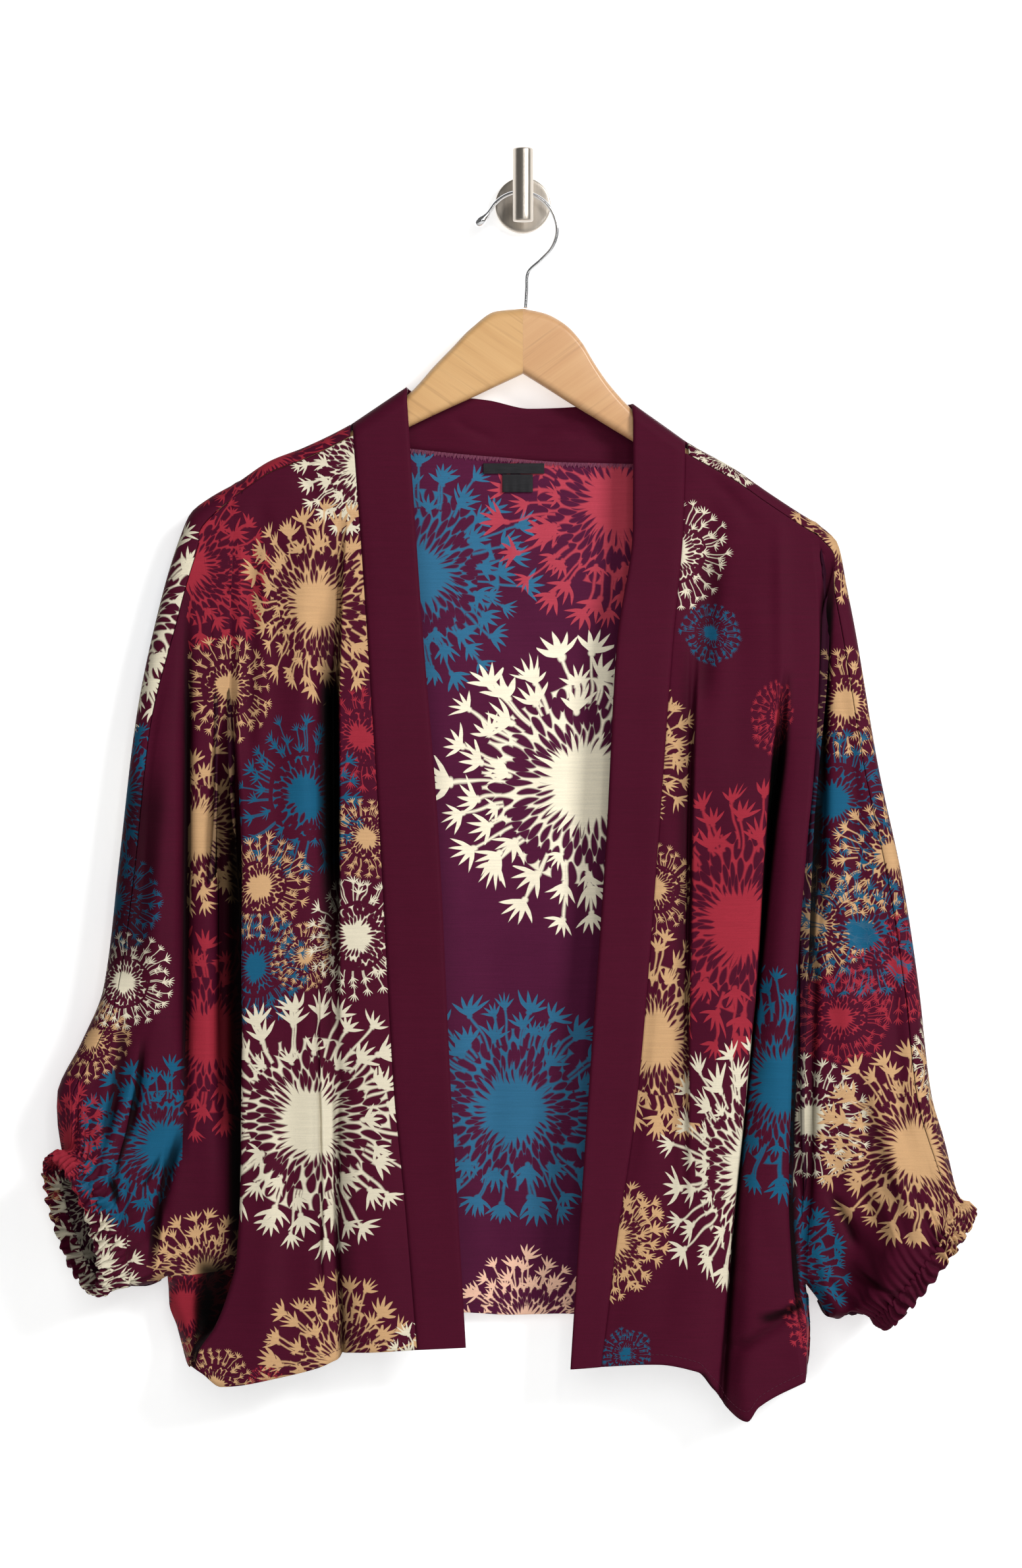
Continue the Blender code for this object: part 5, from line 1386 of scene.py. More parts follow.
def band_cloth(side):
    """Fine skin of a front's doubled band, with its seam pulled in and its free edge rounded."""
    columns = []
    turn = TURN_ROWS[TURN_ROWS > 0]
    for share in np.linspace(0, 1, BAND_COLUMNS):
        def place(z, share=share):
            seam = read(BAND[side], "z", "seam", z) - OUTWARD[side] * SEAM_GAP / 2
            return mix(read(BAND[side], "z", "edge", z), seam, share)

        z_top = top_height(side, place)
        z_hem = read(HEM[side], "x", "z", place(HEM_NEAR_Z))
        down = mix(SHOULDER_ROUND, z_top - z_hem, finer(ABOVE, BAND_ROWS))
        down = np.concatenate([[SEAM_GAP], turn, down])
        z = z_top - down
        x = place(z)
        y = front_depth(side, x, z, 0.0) - BAND_PROUD + hang_wave(side, share, z)
        y = y + BAND_SEAM_DEEP * step(BAND_SEAM_SHARE, 1.0, share)
        y = y + BAND_EDGE_DEEP * (1 - rounded(share, BAND_EDGE_SHARE))
        y = y + BAND_SLACK * slack(x * 1.7, z * 0.6)
        middle = (SHOULDER_FRONT_Y + BACK_Y) / 2
        columns.append(np.stack([x, mix(middle, y, rounded(down, SHOULDER_ROUND)), z], axis=1))
    return np.stack(columns, axis=1)


def neck_band_cloth():
    """Fine skin of the band round the back neck, from crest to crest."""
    back = back_body(NECK_COLUMNS, ABOVE[:3], BELOW[:1])
    neck_row = len(TURN_ROWS)
    turns = neck_row - CREST_ROW
    aside = np.array([SEAM_GAP, 0.0, 0.0])
    above = np.array([0.0, 0.0, SEAM_GAP])
    seam = np.concatenate([
        back[CREST_ROW:neck_row, 0] + aside,
        back[neck_row, :1] + aside + above,
        back[neck_row, 1:-1] + above,
        back[neck_row, -1:] - aside + above,
        back[CREST_ROW:neck_row, -1][::-1] - aside,
    ])
    edge = np.stack([read(NECK_EDGE, "seam", name, seam[:, 0]) for name in ("x", "y", "z")], axis=1)
    for k in range(turns):
        for at, side in ((k, "right"), (len(seam) - 1 - k, "left")):
            edge[at, [0, 2]] = mix(np.array(NECK_CREST[side]), edge[at, [0, 2]], k / turns)
            edge[at, 1] = min(seam[at, 1], NECK_EDGE["y"][0])
    seam[[0, -1], 1] += SEAM_GAP
    edge[[0, -1], 1] += SEAM_GAP
    rows = np.linspace(0, 1, BAND_COLUMNS)[:, None]
    skin = mix(edge, seam, rows[..., None])
    skin[-1, turns:-turns, 2] -= SEAM_INLAY
    x = skin[..., 0]
    inner = NECKLINE["x"][-1] - NECK_FLAT - np.abs(x)
    ruck = NECK_RUCK * np.sin(x / NECK_RUCK_LONG + 3.0 * rows) * np.sin(rows * math.pi) * (inner > 0)
    ruck = ruck + crease_depth(NECK_CREASES, x, skin[..., 2])
    skin[..., 1] += ruck * step(0.0, NECK_RUCK_FADE, inner)
    return skin


def make_plain(name, skin, facing, materials, thick):
    """A piece of plain cloth or tape, thickened inwards to a wall."""
    faces = grid_faces(*skin.shape[:2])[:, ::int(facing)]
    return thicken(mesh_piece(name, skin.reshape(-1, 3), faces, materials), thick)


def make_cuff(side, materials):
    """A casing crumpled on its elastic: uneven gathers that lean and cross over its width."""
    name = f"cuff_{side}"
    angle = np.linspace(0, 360, CUFF_SAMPLES, endpoint=False)
    turn = np.radians(angle)
    count = len(CASING["wave"])
    closed = {key: np.append(column, column[0]) for key, column in CASING.items()}
    closed["at"] = np.arange(count + 1.0)
    rings, shades = [], []
    for at in np.linspace(0, count, CUFF_SECTION, endpoint=False):
        inwards, proud, wave = (float(read(closed, "at", key, at)) for key in CASING)
        share = inwards / CASING_WIDTH
        lean = CUFF_LEAN * share + CUFF_UNEVEN * np.sin(turn * 9 + 5 * share)
        rise = gather_wave(side, angle + lean)
        crumple = CUFF_CRUMPLE * np.sin(turn * 97 + 11 * share) * math.sin(math.pi * share)
        draw = CUFF_DRAW * np.sin(turn * RUFFLES / 2 + 2.0 * share) * (1 - share)
        rings.append(ring(side, angle, inwards + draw, proud + RUFFLE_DEPTH * wave * rise + crumple))
        # Painted shade: darker between the gathers and on the casing's inner face, kept for both the face
        # and the wrong side
        inner = step(-1.0, -2.0, np.array(proud))
        painted_gather_shade = mix(CUFF_LIGHT["least"], 1.0, step(CUFF_LIGHT["low"], CUFF_LIGHT["high"], rise))
        shades.append(painted_gather_shade * (1 - CUFF_LIGHT["inner"] * inner))
    points = np.stack(rings, axis=1).reshape(-1, 3)
    shade = np.stack(shades, axis=1)
    faces = grid_faces(CUFF_SAMPLES, CUFF_SECTION, True, True)[:, ::-int(OUTWARD[side])]
    piece = mesh_piece(f"{name}_casing", points, faces, materials)
    set_light(piece, shade, shade)
    regions = np.where(np.sin(turn[faces[:, 0] // CUFF_SECTION]) > FAR_SIDE, "cuff", "far")
    corners = points[faces][..., [0, 2]]
    print_cloth(piece, name, regions, corners, corners.mean(axis=1))
    return piece


def make_label(name, material):
    """A plain woven label on the back's inside, with a slight bulge."""
    label = LABELS[name]
    share_x, share_z = np.meshgrid(np.linspace(0, 1, LABEL_COLUMNS), np.linspace(0, 1, LABEL_ROWS))
    x = mix(label["left"], label["right"], share_x)
    z = mix(label["top"], label["bottom"], share_z)
    bulge = LABEL_BULGE * np.sin(math.pi * share_x) * np.abs(np.sin(math.pi * share_z)) ** 0.5
    ripple = LABEL_RIPPLE * np.sin(share_x * 23.0) * share_z
    y = back_depth(x, z) - CLOTH - SEAM_GAP - LABEL_CLOTH - bulge - ripple
    return make_plain(f"{name}_tape", np.stack([x, y, z], axis=2), -1.0, [material] * 2, LABEL_SHOWN)


def bar(name, rings, ends, material, inside_out):
    """A closed bar through rings of points, with a middle point at each end."""
    count, sides = rings.shape[:2]
    quads = grid_faces(count, sides, close_columns=True)
    first = np.arange(sides)
    last = (count - 1) * sides + first
    hub = np.full(sides, count * sides)
    faces = np.concatenate([
        quads[:, [0, 1, 2]],
        quads[:, [0, 2, 3]],
        np.stack([hub, np.roll(first, -1), first], axis=1),
        np.stack([hub + 1, last, np.roll(last, -1)], axis=1),
    ])
    points = np.concatenate([rings.reshape(-1, 3), ends])
    return mesh_piece(name, points, faces[:, ::-1] if inside_out else faces, [material])


def make_arm(side, material):
    """A wooden arm with softly rounded edges, from the mitre to its round end under the shoulder."""
    out = OUTWARD[side]
    rows = ARM[side]
    end = ARM_END[side] - ARM_TIP_LONG
    under = np.linspace(ARM_SHOULDER_START[side], end, ARM_SECTIONS) * out
    slope = np.hypot(1.0, np.gradient(shoulder_height(side, under), under))
    fall = ARM_SLOPE[side] * np.abs(under - rows["x"][-1])
    knots = dict(
        x=np.append(rows["x"], under) * out,
        top=np.append(rows["top"], shoulder_height(side, under) - (CLOTH + ARM_CLEAR) * slope),
        bottom=np.append(rows["bottom"], rows["bottom"][-1] - fall),
    )
    reach = np.linspace(MITRE_GAP, end, ARM_POINTS)
    top, bottom = (read(knots, "x", name, reach) for name in ("top", "bottom"))
    tip = np.sin(np.linspace(0, math.pi / 2, ARM_TIP_POINTS)[1:])
    run = (np.diff(top)[-1] + np.diff(bottom)[-1]) / 2 / np.diff(reach)[-1]
    middle = (top[-1] + bottom[-1]) / 2 + run * tip * ARM_TIP_LONG * ARM_TIP_ROUND
    small = (top[-1] - bottom[-1]) / 2 * np.sqrt(np.maximum(1 - tip**2, 0.02))
    reach = np.append(reach, end + tip * ARM_TIP_LONG * ARM_TIP_ROUND)
    top = np.append(top, middle + small)
    bottom = np.append(bottom, middle - small)
    corner = np.linspace(0, math.pi / 2, ARM_CORNER_POINTS)
    fit = np.minimum(ARM_ROUND, (top - bottom) / 2 - 0.05)[:, None]
    across = ARM_THICK / 2 - ARM_ROUND + ARM_ROUND * np.cos(corner)
    across = np.append(across, -across[::-1])
    up = np.append(np.sin(corner), np.sin(corner[::-1]))
    z = np.append(top[:, None] - fit + up * fit, bottom[:, None] + fit - up[::-1] * fit, axis=1)
    y = np.broadcast_to(np.append(across, across[::-1]) + ARM_Y, z.shape)
    x = np.broadcast_to((reach * out)[:, None], z.shape)
    rings = np.stack([x, y, z], axis=2)
    piece = bar(f"hanger_arm_{side}_wood", rings, rings.mean(axis=1)[[0, -1]], material, out < 0)
    piece.data.set_sharp_from_angle(angle=SHARP_ANGLE)
    return piece


def make_hook(material):
    """The hanger's wire: a round bar along its route, thicker towards its drop end."""
    line = by_length(HOOK_ROUTE["x"], HOOK_ROUTE["z"])
    length = line["length"]
    at = np.linspace(0, length[-1], WIRE_POINTS)
    thick = read(dict(length=length, thick=HOOK_ROUTE["thick"]), "length", "thick", at) * WIRE_RADIUS
    x, z = (curve(length, line[name], np.gradient(line[name], length), at) for name in ("x", "z"))
    path = np.stack([x, np.full(len(at), ARM_Y), z], axis=1)
    along = np.gradient(path, axis=0)
    along /= np.linalg.norm(along, axis=1, keepdims=True)
    forward = np.broadcast_to([0.0, -1.0, 0.0], path.shape)
    aside = np.cross(along, forward)
    turn = np.linspace(0, 2 * math.pi, WIRE_SIDES, endpoint=False)[None, :, None]
    spread = forward[:, None] * np.cos(turn) + aside[:, None] * np.sin(turn)
    rings = path[:, None] + spread * thick[:, None, None]
    return bar("hanger_hook_wire", rings, path[[0, -1]], material, False)


def make_turned(name, profile, sides, upright, place, material):
    """A turned piece from its radius and height rows; it stands upright or points to the viewer."""
    radius, height = np.array(profile, float).T
    turn = np.linspace(0, 2 * math.pi, sides, endpoint=False)[:, None]
    first, second = radius * np.cos(turn), radius * np.sin(turn)
    height = np.broadcast_to(height, first.shape)
    points = np.stack([first, second, height] if upright else [first, -height, second], axis=2)
    faces = grid_faces(sides, len(profile), close_rows=True)[:, [0, 3, 2, 1]]
    piece = mesh_piece(name, points.reshape(-1, 3) + np.array(place), faces, [material])
    piece.data.set_sharp_from_angle(angle=SHARP_ANGLE)
    return piece


def edge_round(radius, height, outer):
    """Rows of a rounded outer edge that ends at the given height."""
    angle = np.linspace(0, math.pi / 2, EDGE_STEPS)
    deep = EDGE_ROUND if outer else -EDGE_ROUND
    return list(zip(radius - EDGE_ROUND * (1 - np.cos(angle)), height - deep * (1 - np.sin(angle))))


def make_wall_hook(material):
    """The rose on the wall, the stem with its collar, and the upright peg."""
    axis, collar = AXIS_RADIUS, COLLAR_RADIUS
    rose = [(axis, 0.0), (ROSE_RADIUS, 0.0), (ROSE_RADIUS, 1.0)]
    rose += edge_round(ROSE_RADIUS, ROSE_THICK, True)
    rose += [(ROSE_RADIUS - 3.0, ROSE_THICK + 0.05), (STEM_RADIUS + 2.2, ROSE_THICK), (axis, ROSE_THICK)]
    reach = -PEG_Y - PEG_RADIUS - SEAM_GAP
    start = ROSE_THICK + SEAM_GAP
    stem = [(axis, start), (collar, start), (collar, start + COLLAR_LONG), (STEM_RADIUS, start + COLLAR_END)]
    stem += [(STEM_RADIUS, reach - 3.0), (STEM_RADIUS, reach), (axis, reach)]
    peg = [(axis, PEG_BOTTOM)] + edge_round(PEG_RADIUS, PEG_BOTTOM, False)[::-1]
    peg += [(PEG_RADIUS, z) for z in np.linspace(PEG_BOTTOM, PEG_TOP, 12)[1:-1]]
    peg += edge_round(PEG_RADIUS, PEG_TOP, True) + [(axis, PEG_TOP)]
    return {
        "wall_rose": make_turned("wall_rose_metal", rose, 96, False, (0, 0, 0), material),
        "wall_stem": make_turned("wall_stem_metal", stem, 64, False, (0, 0, 0), material),
        "wall_peg": make_turned("wall_peg_metal", peg, 72, True, (0, PEG_Y, 0), material),
    }


def dashes(name, starts, ends, outward, radius, material):
    """Many short threads in one mesh: each a slim six-sided spindle from a start to an end."""
    along = ends - starts
    aside = np.cross(along, outward)
    aside /= np.linalg.norm(aside, axis=1, keepdims=True)
    turn = np.linspace(0, 2 * math.pi, 6, endpoint=False)[None, :, None]
    spread = aside[:, None] * np.cos(turn) + outward[:, None] * np.sin(turn)
    rings = []
    for share, width in SPINDLE:
        middle = starts + along * share + outward * radius * SPINDLE_LIFT * math.sin(math.pi * share)
        rings.append(middle[:, None] + spread * radius * width)
    points = np.stack(rings, axis=1)
    count, levels, sides = points.shape[:3]
    faces = grid_faces(levels, sides, close_columns=True) + np.arange(count)[:, None, None] * levels * sides
    return mesh_piece(name, points.reshape(-1, 3), faces.reshape(-1, 4), [material])


def lengths_along(points):
    """Length along a line at each of its points."""
    return np.append(0.0, np.cumsum(np.linalg.norm(np.diff(points, axis=0), axis=1)))


def place_on(where, run, rows):
    """Rows of three numbers read at lengths along a line."""
    return np.stack([np.interp(where, run, rows[:, axis]) for axis in range(3)], axis=-1)


def line_above_hem(skin, normals, columns, lift):
    """A line of points at the height of the hem's turn, lifted off the skin's face, with its normals."""
    points, facing = [], []
    for j in columns:
        column = skin[::-1, j]
        run = lengths_along(column)
        normal = place_on(HEM_TURN, run, normals[::-1, j])
        facing.append(normal / np.linalg.norm(normal))
        points.append(place_on(HEM_TURN, run, column) + facing[-1] * lift)
    return np.array(points), np.array(facing)


def spaced(points, normals, pitch, length):
    """Starts and ends of stitches along a line, with the normal at each."""
    run = lengths_along(points)
    at = np.arange(1.0, run[-1] - length, pitch)
    return place_on(at, run, points), place_on(at + length, run, points), place_on(at, run, normals)


def feed(tree, slot, value):
    """Links a node's input to a number or socket of its tree, or sets it to a plain value or colour."""
    if isinstance(value, Formula):
        value = value.socket
    if isinstance(value, bpy.types.NodeSocket):
        tree.links.new(value, slot)
    elif slot.type == "RGBA":
        slot.default_value = (*value, 1.0)
    else:
        slot.default_value = value


def add_node(tree, kind, inputs=None, **settings):
    """A new node with its settings made and its inputs fed, by name or place."""
    node = tree.nodes.new(f"ShaderNode{kind}")
    for name, value in settings.items():
        setattr(node, name, value)
    for key, value in (inputs or {}).items():
        feed(tree, node.inputs[key], value)
    return node


class Formula:
    """A number in a node tree, so that a shape can be written as a formula."""

    def __init__(self, tree, socket):
        self.tree = tree
        self.socket = socket

    def math(self, operation, *others, clamp=False):
        inputs = dict(enumerate((self, *others)))
        node = add_node(self.tree, "Math", inputs, operation=operation, use_clamp=clamp)
        return Formula(self.tree, node.outputs[0])

    def __add__(self, other):
        return self.math("ADD", other)

    def __sub__(self, other):
        return self.math("SUBTRACT", other)

    def __mul__(self, other):
        return self.math("MULTIPLY", other)

    def __truediv__(self, other):
        return self.math("DIVIDE", other)

    def less(self, start):
        """start minus this number."""
        return self.math("MULTIPLY_ADD", -1.0, start)

    def cover(self):
        """1 where the number is over zero and 0 where it is under, with a soft edge."""
        return self.math("MULTIPLY_ADD", 1 / EDGE_SOFT, 0.5, clamp=True)


def sectors(tree, turn, number, seed, key, start=None):
    """Splits a turn into sectors: the place across a sector and three random numbers for it."""
    at = (turn + (seed * key if start is None else start)).math("FRACT") * number
    sector = at.math("FLOOR")
    combine = add_node(tree, "CombineXYZ", {0: sector, 1: seed * 91.7, 2: key})
    noise = add_node(tree, "TexWhiteNoise", {"Vector": combine.outputs[0]}, noise_dimensions="3D")
    split = add_node(tree, "SeparateColor", {0: noise.outputs["Color"]})
    return at - sector - 0.5, [Formula(tree, output) for output in split.outputs[:3]]


def seed_head_group():
    """A node group that draws one seed head: a jagged core, a net of stems and rings of fingered tufts."""
    tree = bpy.data.node_groups.new("seed_head", "ShaderNodeTree")
    sockets = {"Place": "NodeSocketVector", "Seed": "NodeSocketFloat", "Fine": "NodeSocketFloat"}
    for label, kind in sockets.items():
        tree.interface.new_socket(label, in_out="INPUT", socket_type=kind)
    tree.interface.new_socket("Cover", in_out="OUTPUT", socket_type="NodeSocketFloat")
    start = tree.nodes.new("NodeGroupInput")
    end = tree.nodes.new("NodeGroupOutput")
    seed, fine = (Formula(tree, start.outputs[label]) for label in ("Seed", "Fine"))

    def kind(coarse, delicate):
        return fine.math("MULTIPLY_ADD", delicate - coarse, coarse)

    flat = start.outputs["Place"]
    inputs = {"Vector": flat, "W": seed * 37.0, "Detail": 1.5, "Scale": SWAY_SCALE}
    sway = add_node(tree, "TexNoise", inputs, noise_dimensions="4D")
    splits = []
    for output in (flat, sway.outputs["Color"]):
        split = add_node(tree, "SeparateXYZ", {0: output})
        splits.append([Formula(tree, part) for part in split.outputs[:2]])
    u, v = (place + (bend - 0.5) * SWAY for place, bend in zip(*splits))
    radius = (u * u + v * v).math("SQRT")
    turn = v.math("ARCTAN2", u) / (2 * math.pi) + 0.5
    number = kind(*CORE["number"])
    place, chance = sectors(tree, turn, number, seed, 1.0)
    spike = place.math("ABSOLUTE").math("MULTIPLY_ADD", -2.0, 1.0)
    reach = spike.math("POWER", 1.3) * (chance[0] * kind(*CORE["spike"]) + 0.03) + kind(*CORE["radius"])
    shape = (reach - radius).cover()
    number = kind(*NET["number"])
    net = (u.math("SINE") * 0.03 + kind(*NET["reach"]) - radius).cover()
    for key, middle in enumerate(NET["rings"]):
        start_turn = number.math("POWER", -1.0) * (0.5 * key) + seed
        place, chance = sectors(tree, turn, number, seed, 20.0 + key, start_turn)
        along = (radius - (chance[0] - 0.5) * NET["uneven"] - middle) / NET["half"]
        opening = (along * along).less(1.0).math("MAXIMUM", 0.0).math("SQRT") - place.math("ABSOLUTE") * 2.0
        hole = (opening * radius * math.pi / number - kind(*NET["width"])).cover()
        net = net.math("MINIMUM", hole.less(1.0))
    shape = shape.math("MAXIMUM", net)
    for key, (count, low, high, size) in enumerate(RINGS, start=2):
        number = kind(*count)
        place, chance = sectors(tree, turn, number, seed, float(key))
        away = chance[0] * (high - low) + low
        long = (chance[2] * 0.5 + 0.75) * kind(*size)
        angle = (place - (chance[1] - 0.5) * 0.4) * (2 * math.pi) / number
        out = radius * angle.math("COSINE") - away
        aside = radius * angle.math("SINE")
        point = aside.math("ARCTAN2", out) + (chance[1] - 0.5) * 0.9
        finger = (point * FINGER_RATE).math("SINE").math("ABSOLUTE").less(1.0)
        fan = (point.math("ABSOLUTE").less(FINGER_SPAN) * 7.0).math("ADD", 0.5, clamp=True)
        solid = kind(*TUFT_SOLID)
        spread = (finger.math("POWER", 0.85) * solid.less(1.0) + solid) * fan
        tuft = (long * spread.math("MAXIMUM", 0.13) - (out * out + aside * aside).math("SQRT")).cover()
        stem = aside.math("ABSOLUTE").math("MULTIPLY_ADD", -1.0, kind(*STEM)).cover()
        stem = stem.math("MINIMUM", (away - radius).cover()).math("MINIMUM", (radius - STEM_START).cover())
        shape = shape.math("MAXIMUM", tuft.math("MAXIMUM", stem))
    tree.links.new(shape.socket, end.inputs[0])
    return tree


class Nodes:
    """A material's node tree with short calls for what the materials here share."""

    def __init__(self, name, roughness, metallic=0.0, specular=0.5):
        self.material = bpy.data.materials.new(name)
        self.material.use_nodes = True
        self.tree = self.material.node_tree
        self.shader = self.tree.nodes["Principled BSDF"]
        self.place = self.add("TexCoord").outputs["Object"]
        self.shade({"Roughness": roughness, "Metallic": metallic, "Specular IOR Level": specular})

    def add(self, kind, inputs=None, **settings):
        return add_node(self.tree, kind, inputs, **settings)

    def shade(self, inputs):
        """Feeds inputs of the material's shader."""
        for key, value in inputs.items():
            feed(self.tree, self.shader.inputs[key], value)

    def noise(self, scale, detail=3.0, turn=(0.0, 0.0, 0.0), roughness=0.5):
        """Noise in the object's own metres, stretched by a scale for each axis after a turn."""
        inputs = {"Vector": self.place, "Rotation": turn, "Scale": tuple(1 / value for value in scale)}
        place = self.add("Mapping", inputs, vector_type="TEXTURE").outputs[0]
        inputs = {"Vector": place, "Scale": 1.0, "Detail": detail, "Roughness": roughness}
        return Formula(self.tree, self.add("TexNoise", inputs).outputs["Fac"])

    def blend(self, share, first, second, mode="MIX"):
        """Two colours, each a socket or plain numbers, mixed by a share."""
        return self.add("Mix", {0: share, 6: first, 7: second}, data_type="RGBA", blend_type=mode).outputs[2]

    def grey(self, value):
        """A number as a grey colour."""
        return self.add("CombineColor", {0: value, 1: value, 2: value}).outputs[0]

    def bump(self, height, strength, distance):
        inputs = {"Height": height, "Strength": strength, "Distance": distance}
        self.shade({"Normal": self.add("Bump", inputs).outputs[0]})

    def finish(self, colour, roughness=None):
        self.shade({"Base Color": colour})
        if roughness is not None:
            self.shade({"Roughness": roughness})
        return self.material


def crepe(name, wrong_side=False, layers=0, shaded=True):
    """The cloth: burgundy crepe with fine slubs along its weft, and as many layers of the print as asked;
    when shaded, its colour carries painted shade kept with the mesh.
    """
    nodes = Nodes(name, 0.7, specular=0.07)
    slub = nodes.noise((38.0, 38.0, 1150.0), 4.0)
    grain = nodes.noise((1500.0, 1500.0, 2300.0), 2.0)
    cloud = nodes.noise((9.0, 9.0, 9.0), 2.0)
    ground = WRONG_GROUND if wrong_side else GROUND
    colour = nodes.blend(cloud, *(tuple(value * tone for value in ground) for tone in CLOUD_TONES))
    for layer in range(1, layers + 1):
        place = nodes.add("UVMap", uv_map=f"bloom_{layer}").outputs[0]
        ink = nodes.add("Attribute", attribute_name=f"ink_{layer}")
        kind = Formula(nodes.tree, ink.outputs["Alpha"])
        fine = kind.math("GREATER_THAN", 1.0)
        head = nodes.add("Group", {"Place": place, "Seed": kind - fine, "Fine": fine}, node_tree=SEED_HEAD)
        cover = Formula(nodes.tree, head.outputs["Cover"]) * INK_COVER
        tint = ink.outputs["Color"]
        if wrong_side:
            tint = nodes.blend(1.0, tint, WRONG_TINT, "MULTIPLY")
            tint = nodes.blend(1.0, tint, WRONG_LIFT, "ADD")
        colour = nodes.blend(cover, colour, tint)
    # Painted shade kept with the mesh darkens the colour: the shade attribute on the face, the inside
    # attribute on the wrong side
    if shaded:
        light = nodes.add("Attribute", attribute_name="inside" if wrong_side else "shade")
        colour = nodes.blend(1.0, colour, nodes.grey(Formula(nodes.tree, light.outputs["Fac"])), "MULTIPLY")
    weave = slub.math("MULTIPLY_ADD", 0.32, 0.84) * grain.math("MULTIPLY_ADD", 0.24, 0.88)
    colour = nodes.blend(1.0, colour, nodes.grey(weave), "MULTIPLY")
    nodes.bump(slub * 0.6 + grain * 0.4, 0.22, 0.0006)
    return nodes.finish(colour, slub.math("MULTIPLY_ADD", 0.16, 0.62))


def wood(name, light, dark, slope):
    """Clear-finished wood whose grain follows the arm."""
    nodes = Nodes(name, 0.38, specular=0.45)
    nodes.shade({"Coat Weight": 0.18, "Coat Roughness": 0.22})
    turn = (0.0, slope, 0.0)
    bands = nodes.noise((5.0, 60.0, 95.0), 3.0, turn, 0.6)
    fibre = nodes.noise((14.0, 420.0, 900.0), 4.0, turn, 0.65)
    share = (bands.math("MULTIPLY_ADD", 1.9, -0.5) * 0.62 + fibre * 0.42).math("ADD", 0.0, clamp=True)
    streak = nodes.noise((7.0, 40.0, 230.0), 3.0, turn, 0.6).math("MULTIPLY_ADD", 5.0, -2.75, clamp=True)
    nodes.bump(fibre, 0.12, 0.0004)
    colour = nodes.blend(share, light, dark)
    colour = nodes.blend(streak * 0.5, colour, tuple(value * 0.62 for value in dark))
    return nodes.finish(colour, fibre.math("MULTIPLY_ADD", 0.14, 0.32))


def metal(name, colour, roughness, scale, wear):
    """Bare metal with fine lines of its finish along the short axes of a stretched noise."""
    nodes = Nodes(name, roughness, metallic=1.0)
    lines = nodes.noise(scale, 4.0)
    smear = nodes.noise((60.0, 60.0, 60.0), 3.0)
    shade = lines.math("MULTIPLY_ADD", wear, 1.0 - wear / 2) * smear.math("MULTIPLY_ADD", 0.12, 0.94)
    tinted = nodes.blend(1.0, colour, nodes.grey(shade), "MULTIPLY")
    nodes.bump(lines, 0.08, 0.0002)
    rough = (lines * 0.5 + smear * 0.5).math("MULTIPLY_ADD", wear * 0.5, roughness - wear * 0.25)
    return nodes.finish(tinted, rough)


def tape():
    """Matt black woven tape with a fine rib."""
    nodes = Nodes("label_tape", 0.75, specular=0.25)
    rib = nodes.noise((120.0, 120.0, 3800.0), 2.0)
    warp = nodes.noise((3200.0, 3200.0, 150.0), 2.0)
    nodes.bump(rib * 0.5 + warp * 0.5, 0.4, 0.0004)
    return nodes.finish(nodes.blend(rib, (0.006, 0.006, 0.007), (0.024, 0.023, 0.026)))


def thread(name, light, dark):
    nodes = Nodes(name, 0.6, specular=0.3)
    ply = nodes.noise((2600.0, 2600.0, 2600.0), 2.0)
    nodes.bump(ply, 0.5, 0.0003)
    return nodes.finish(nodes.blend(ply, dark, light))


def stage_material(name, colour, glow, one_sided):
    """Plain paint with a soft glow; a one-sided one lets a view from behind through."""
    nodes = Nodes(name, 0.9, specular=0.1)
    tone = nodes.noise((3.0, 3.0, 3.0), 2.0)
    nodes.shade({"Emission Color": (1.0, 1.0, 1.0), "Emission Strength": glow})
    paint = nodes.finish(nodes.blend(tone, tuple(value * 0.985 for value in colour), colour))
    if one_sided:
        behind = nodes.add("NewGeometry").outputs["Backfacing"]
        clear = nodes.add("BsdfTransparent").outputs[0]
        either = nodes.add("MixShader", {0: behind, 1: nodes.shader.outputs[0], 2: clear})
        feed(nodes.tree, nodes.tree.nodes["Material Output"].inputs["Surface"], either.outputs[0])
    return paint


# Materials
SEED_HEAD = seed_head_group()
PRINTED = []
for layers in range(LAYERS + 1):
    PRINTED.append(crepe(f"crepe_face_{layers}", False, layers))
    PRINTED.append(crepe(f"crepe_wrong_side_{layers}", True, layers))
PLAIN = [crepe("plain_crepe_face", shaded=False)] * 2
NICKEL = metal("brushed_nickel_lines", (0.58, 0.52, 0.45), 0.30, (1400.0, 1400.0, 60.0), 0.3)
CHROME = metal("chrome_wire_polish", (0.82, 0.82, 0.83), 0.10, (300.0, 300.0, 300.0), 0.1)
TAPE = tape()
THREAD = thread("crepe_thread", (0.11, 0.016, 0.04), (0.045, 0.006, 0.016))
OVERLOCK = thread("overlock_thread", (0.34, 0.10, 0.17), (0.15, 0.03, 0.07))
WOODS = {
    "right": wood("hanger_wood_right", (0.68, 0.42, 0.19), (0.52, 0.28, 0.105), 0.6),
    "left": wood("hanger_wood_left", (0.66, 0.40, 0.20), (0.50, 0.25, 0.11), -0.62),
}

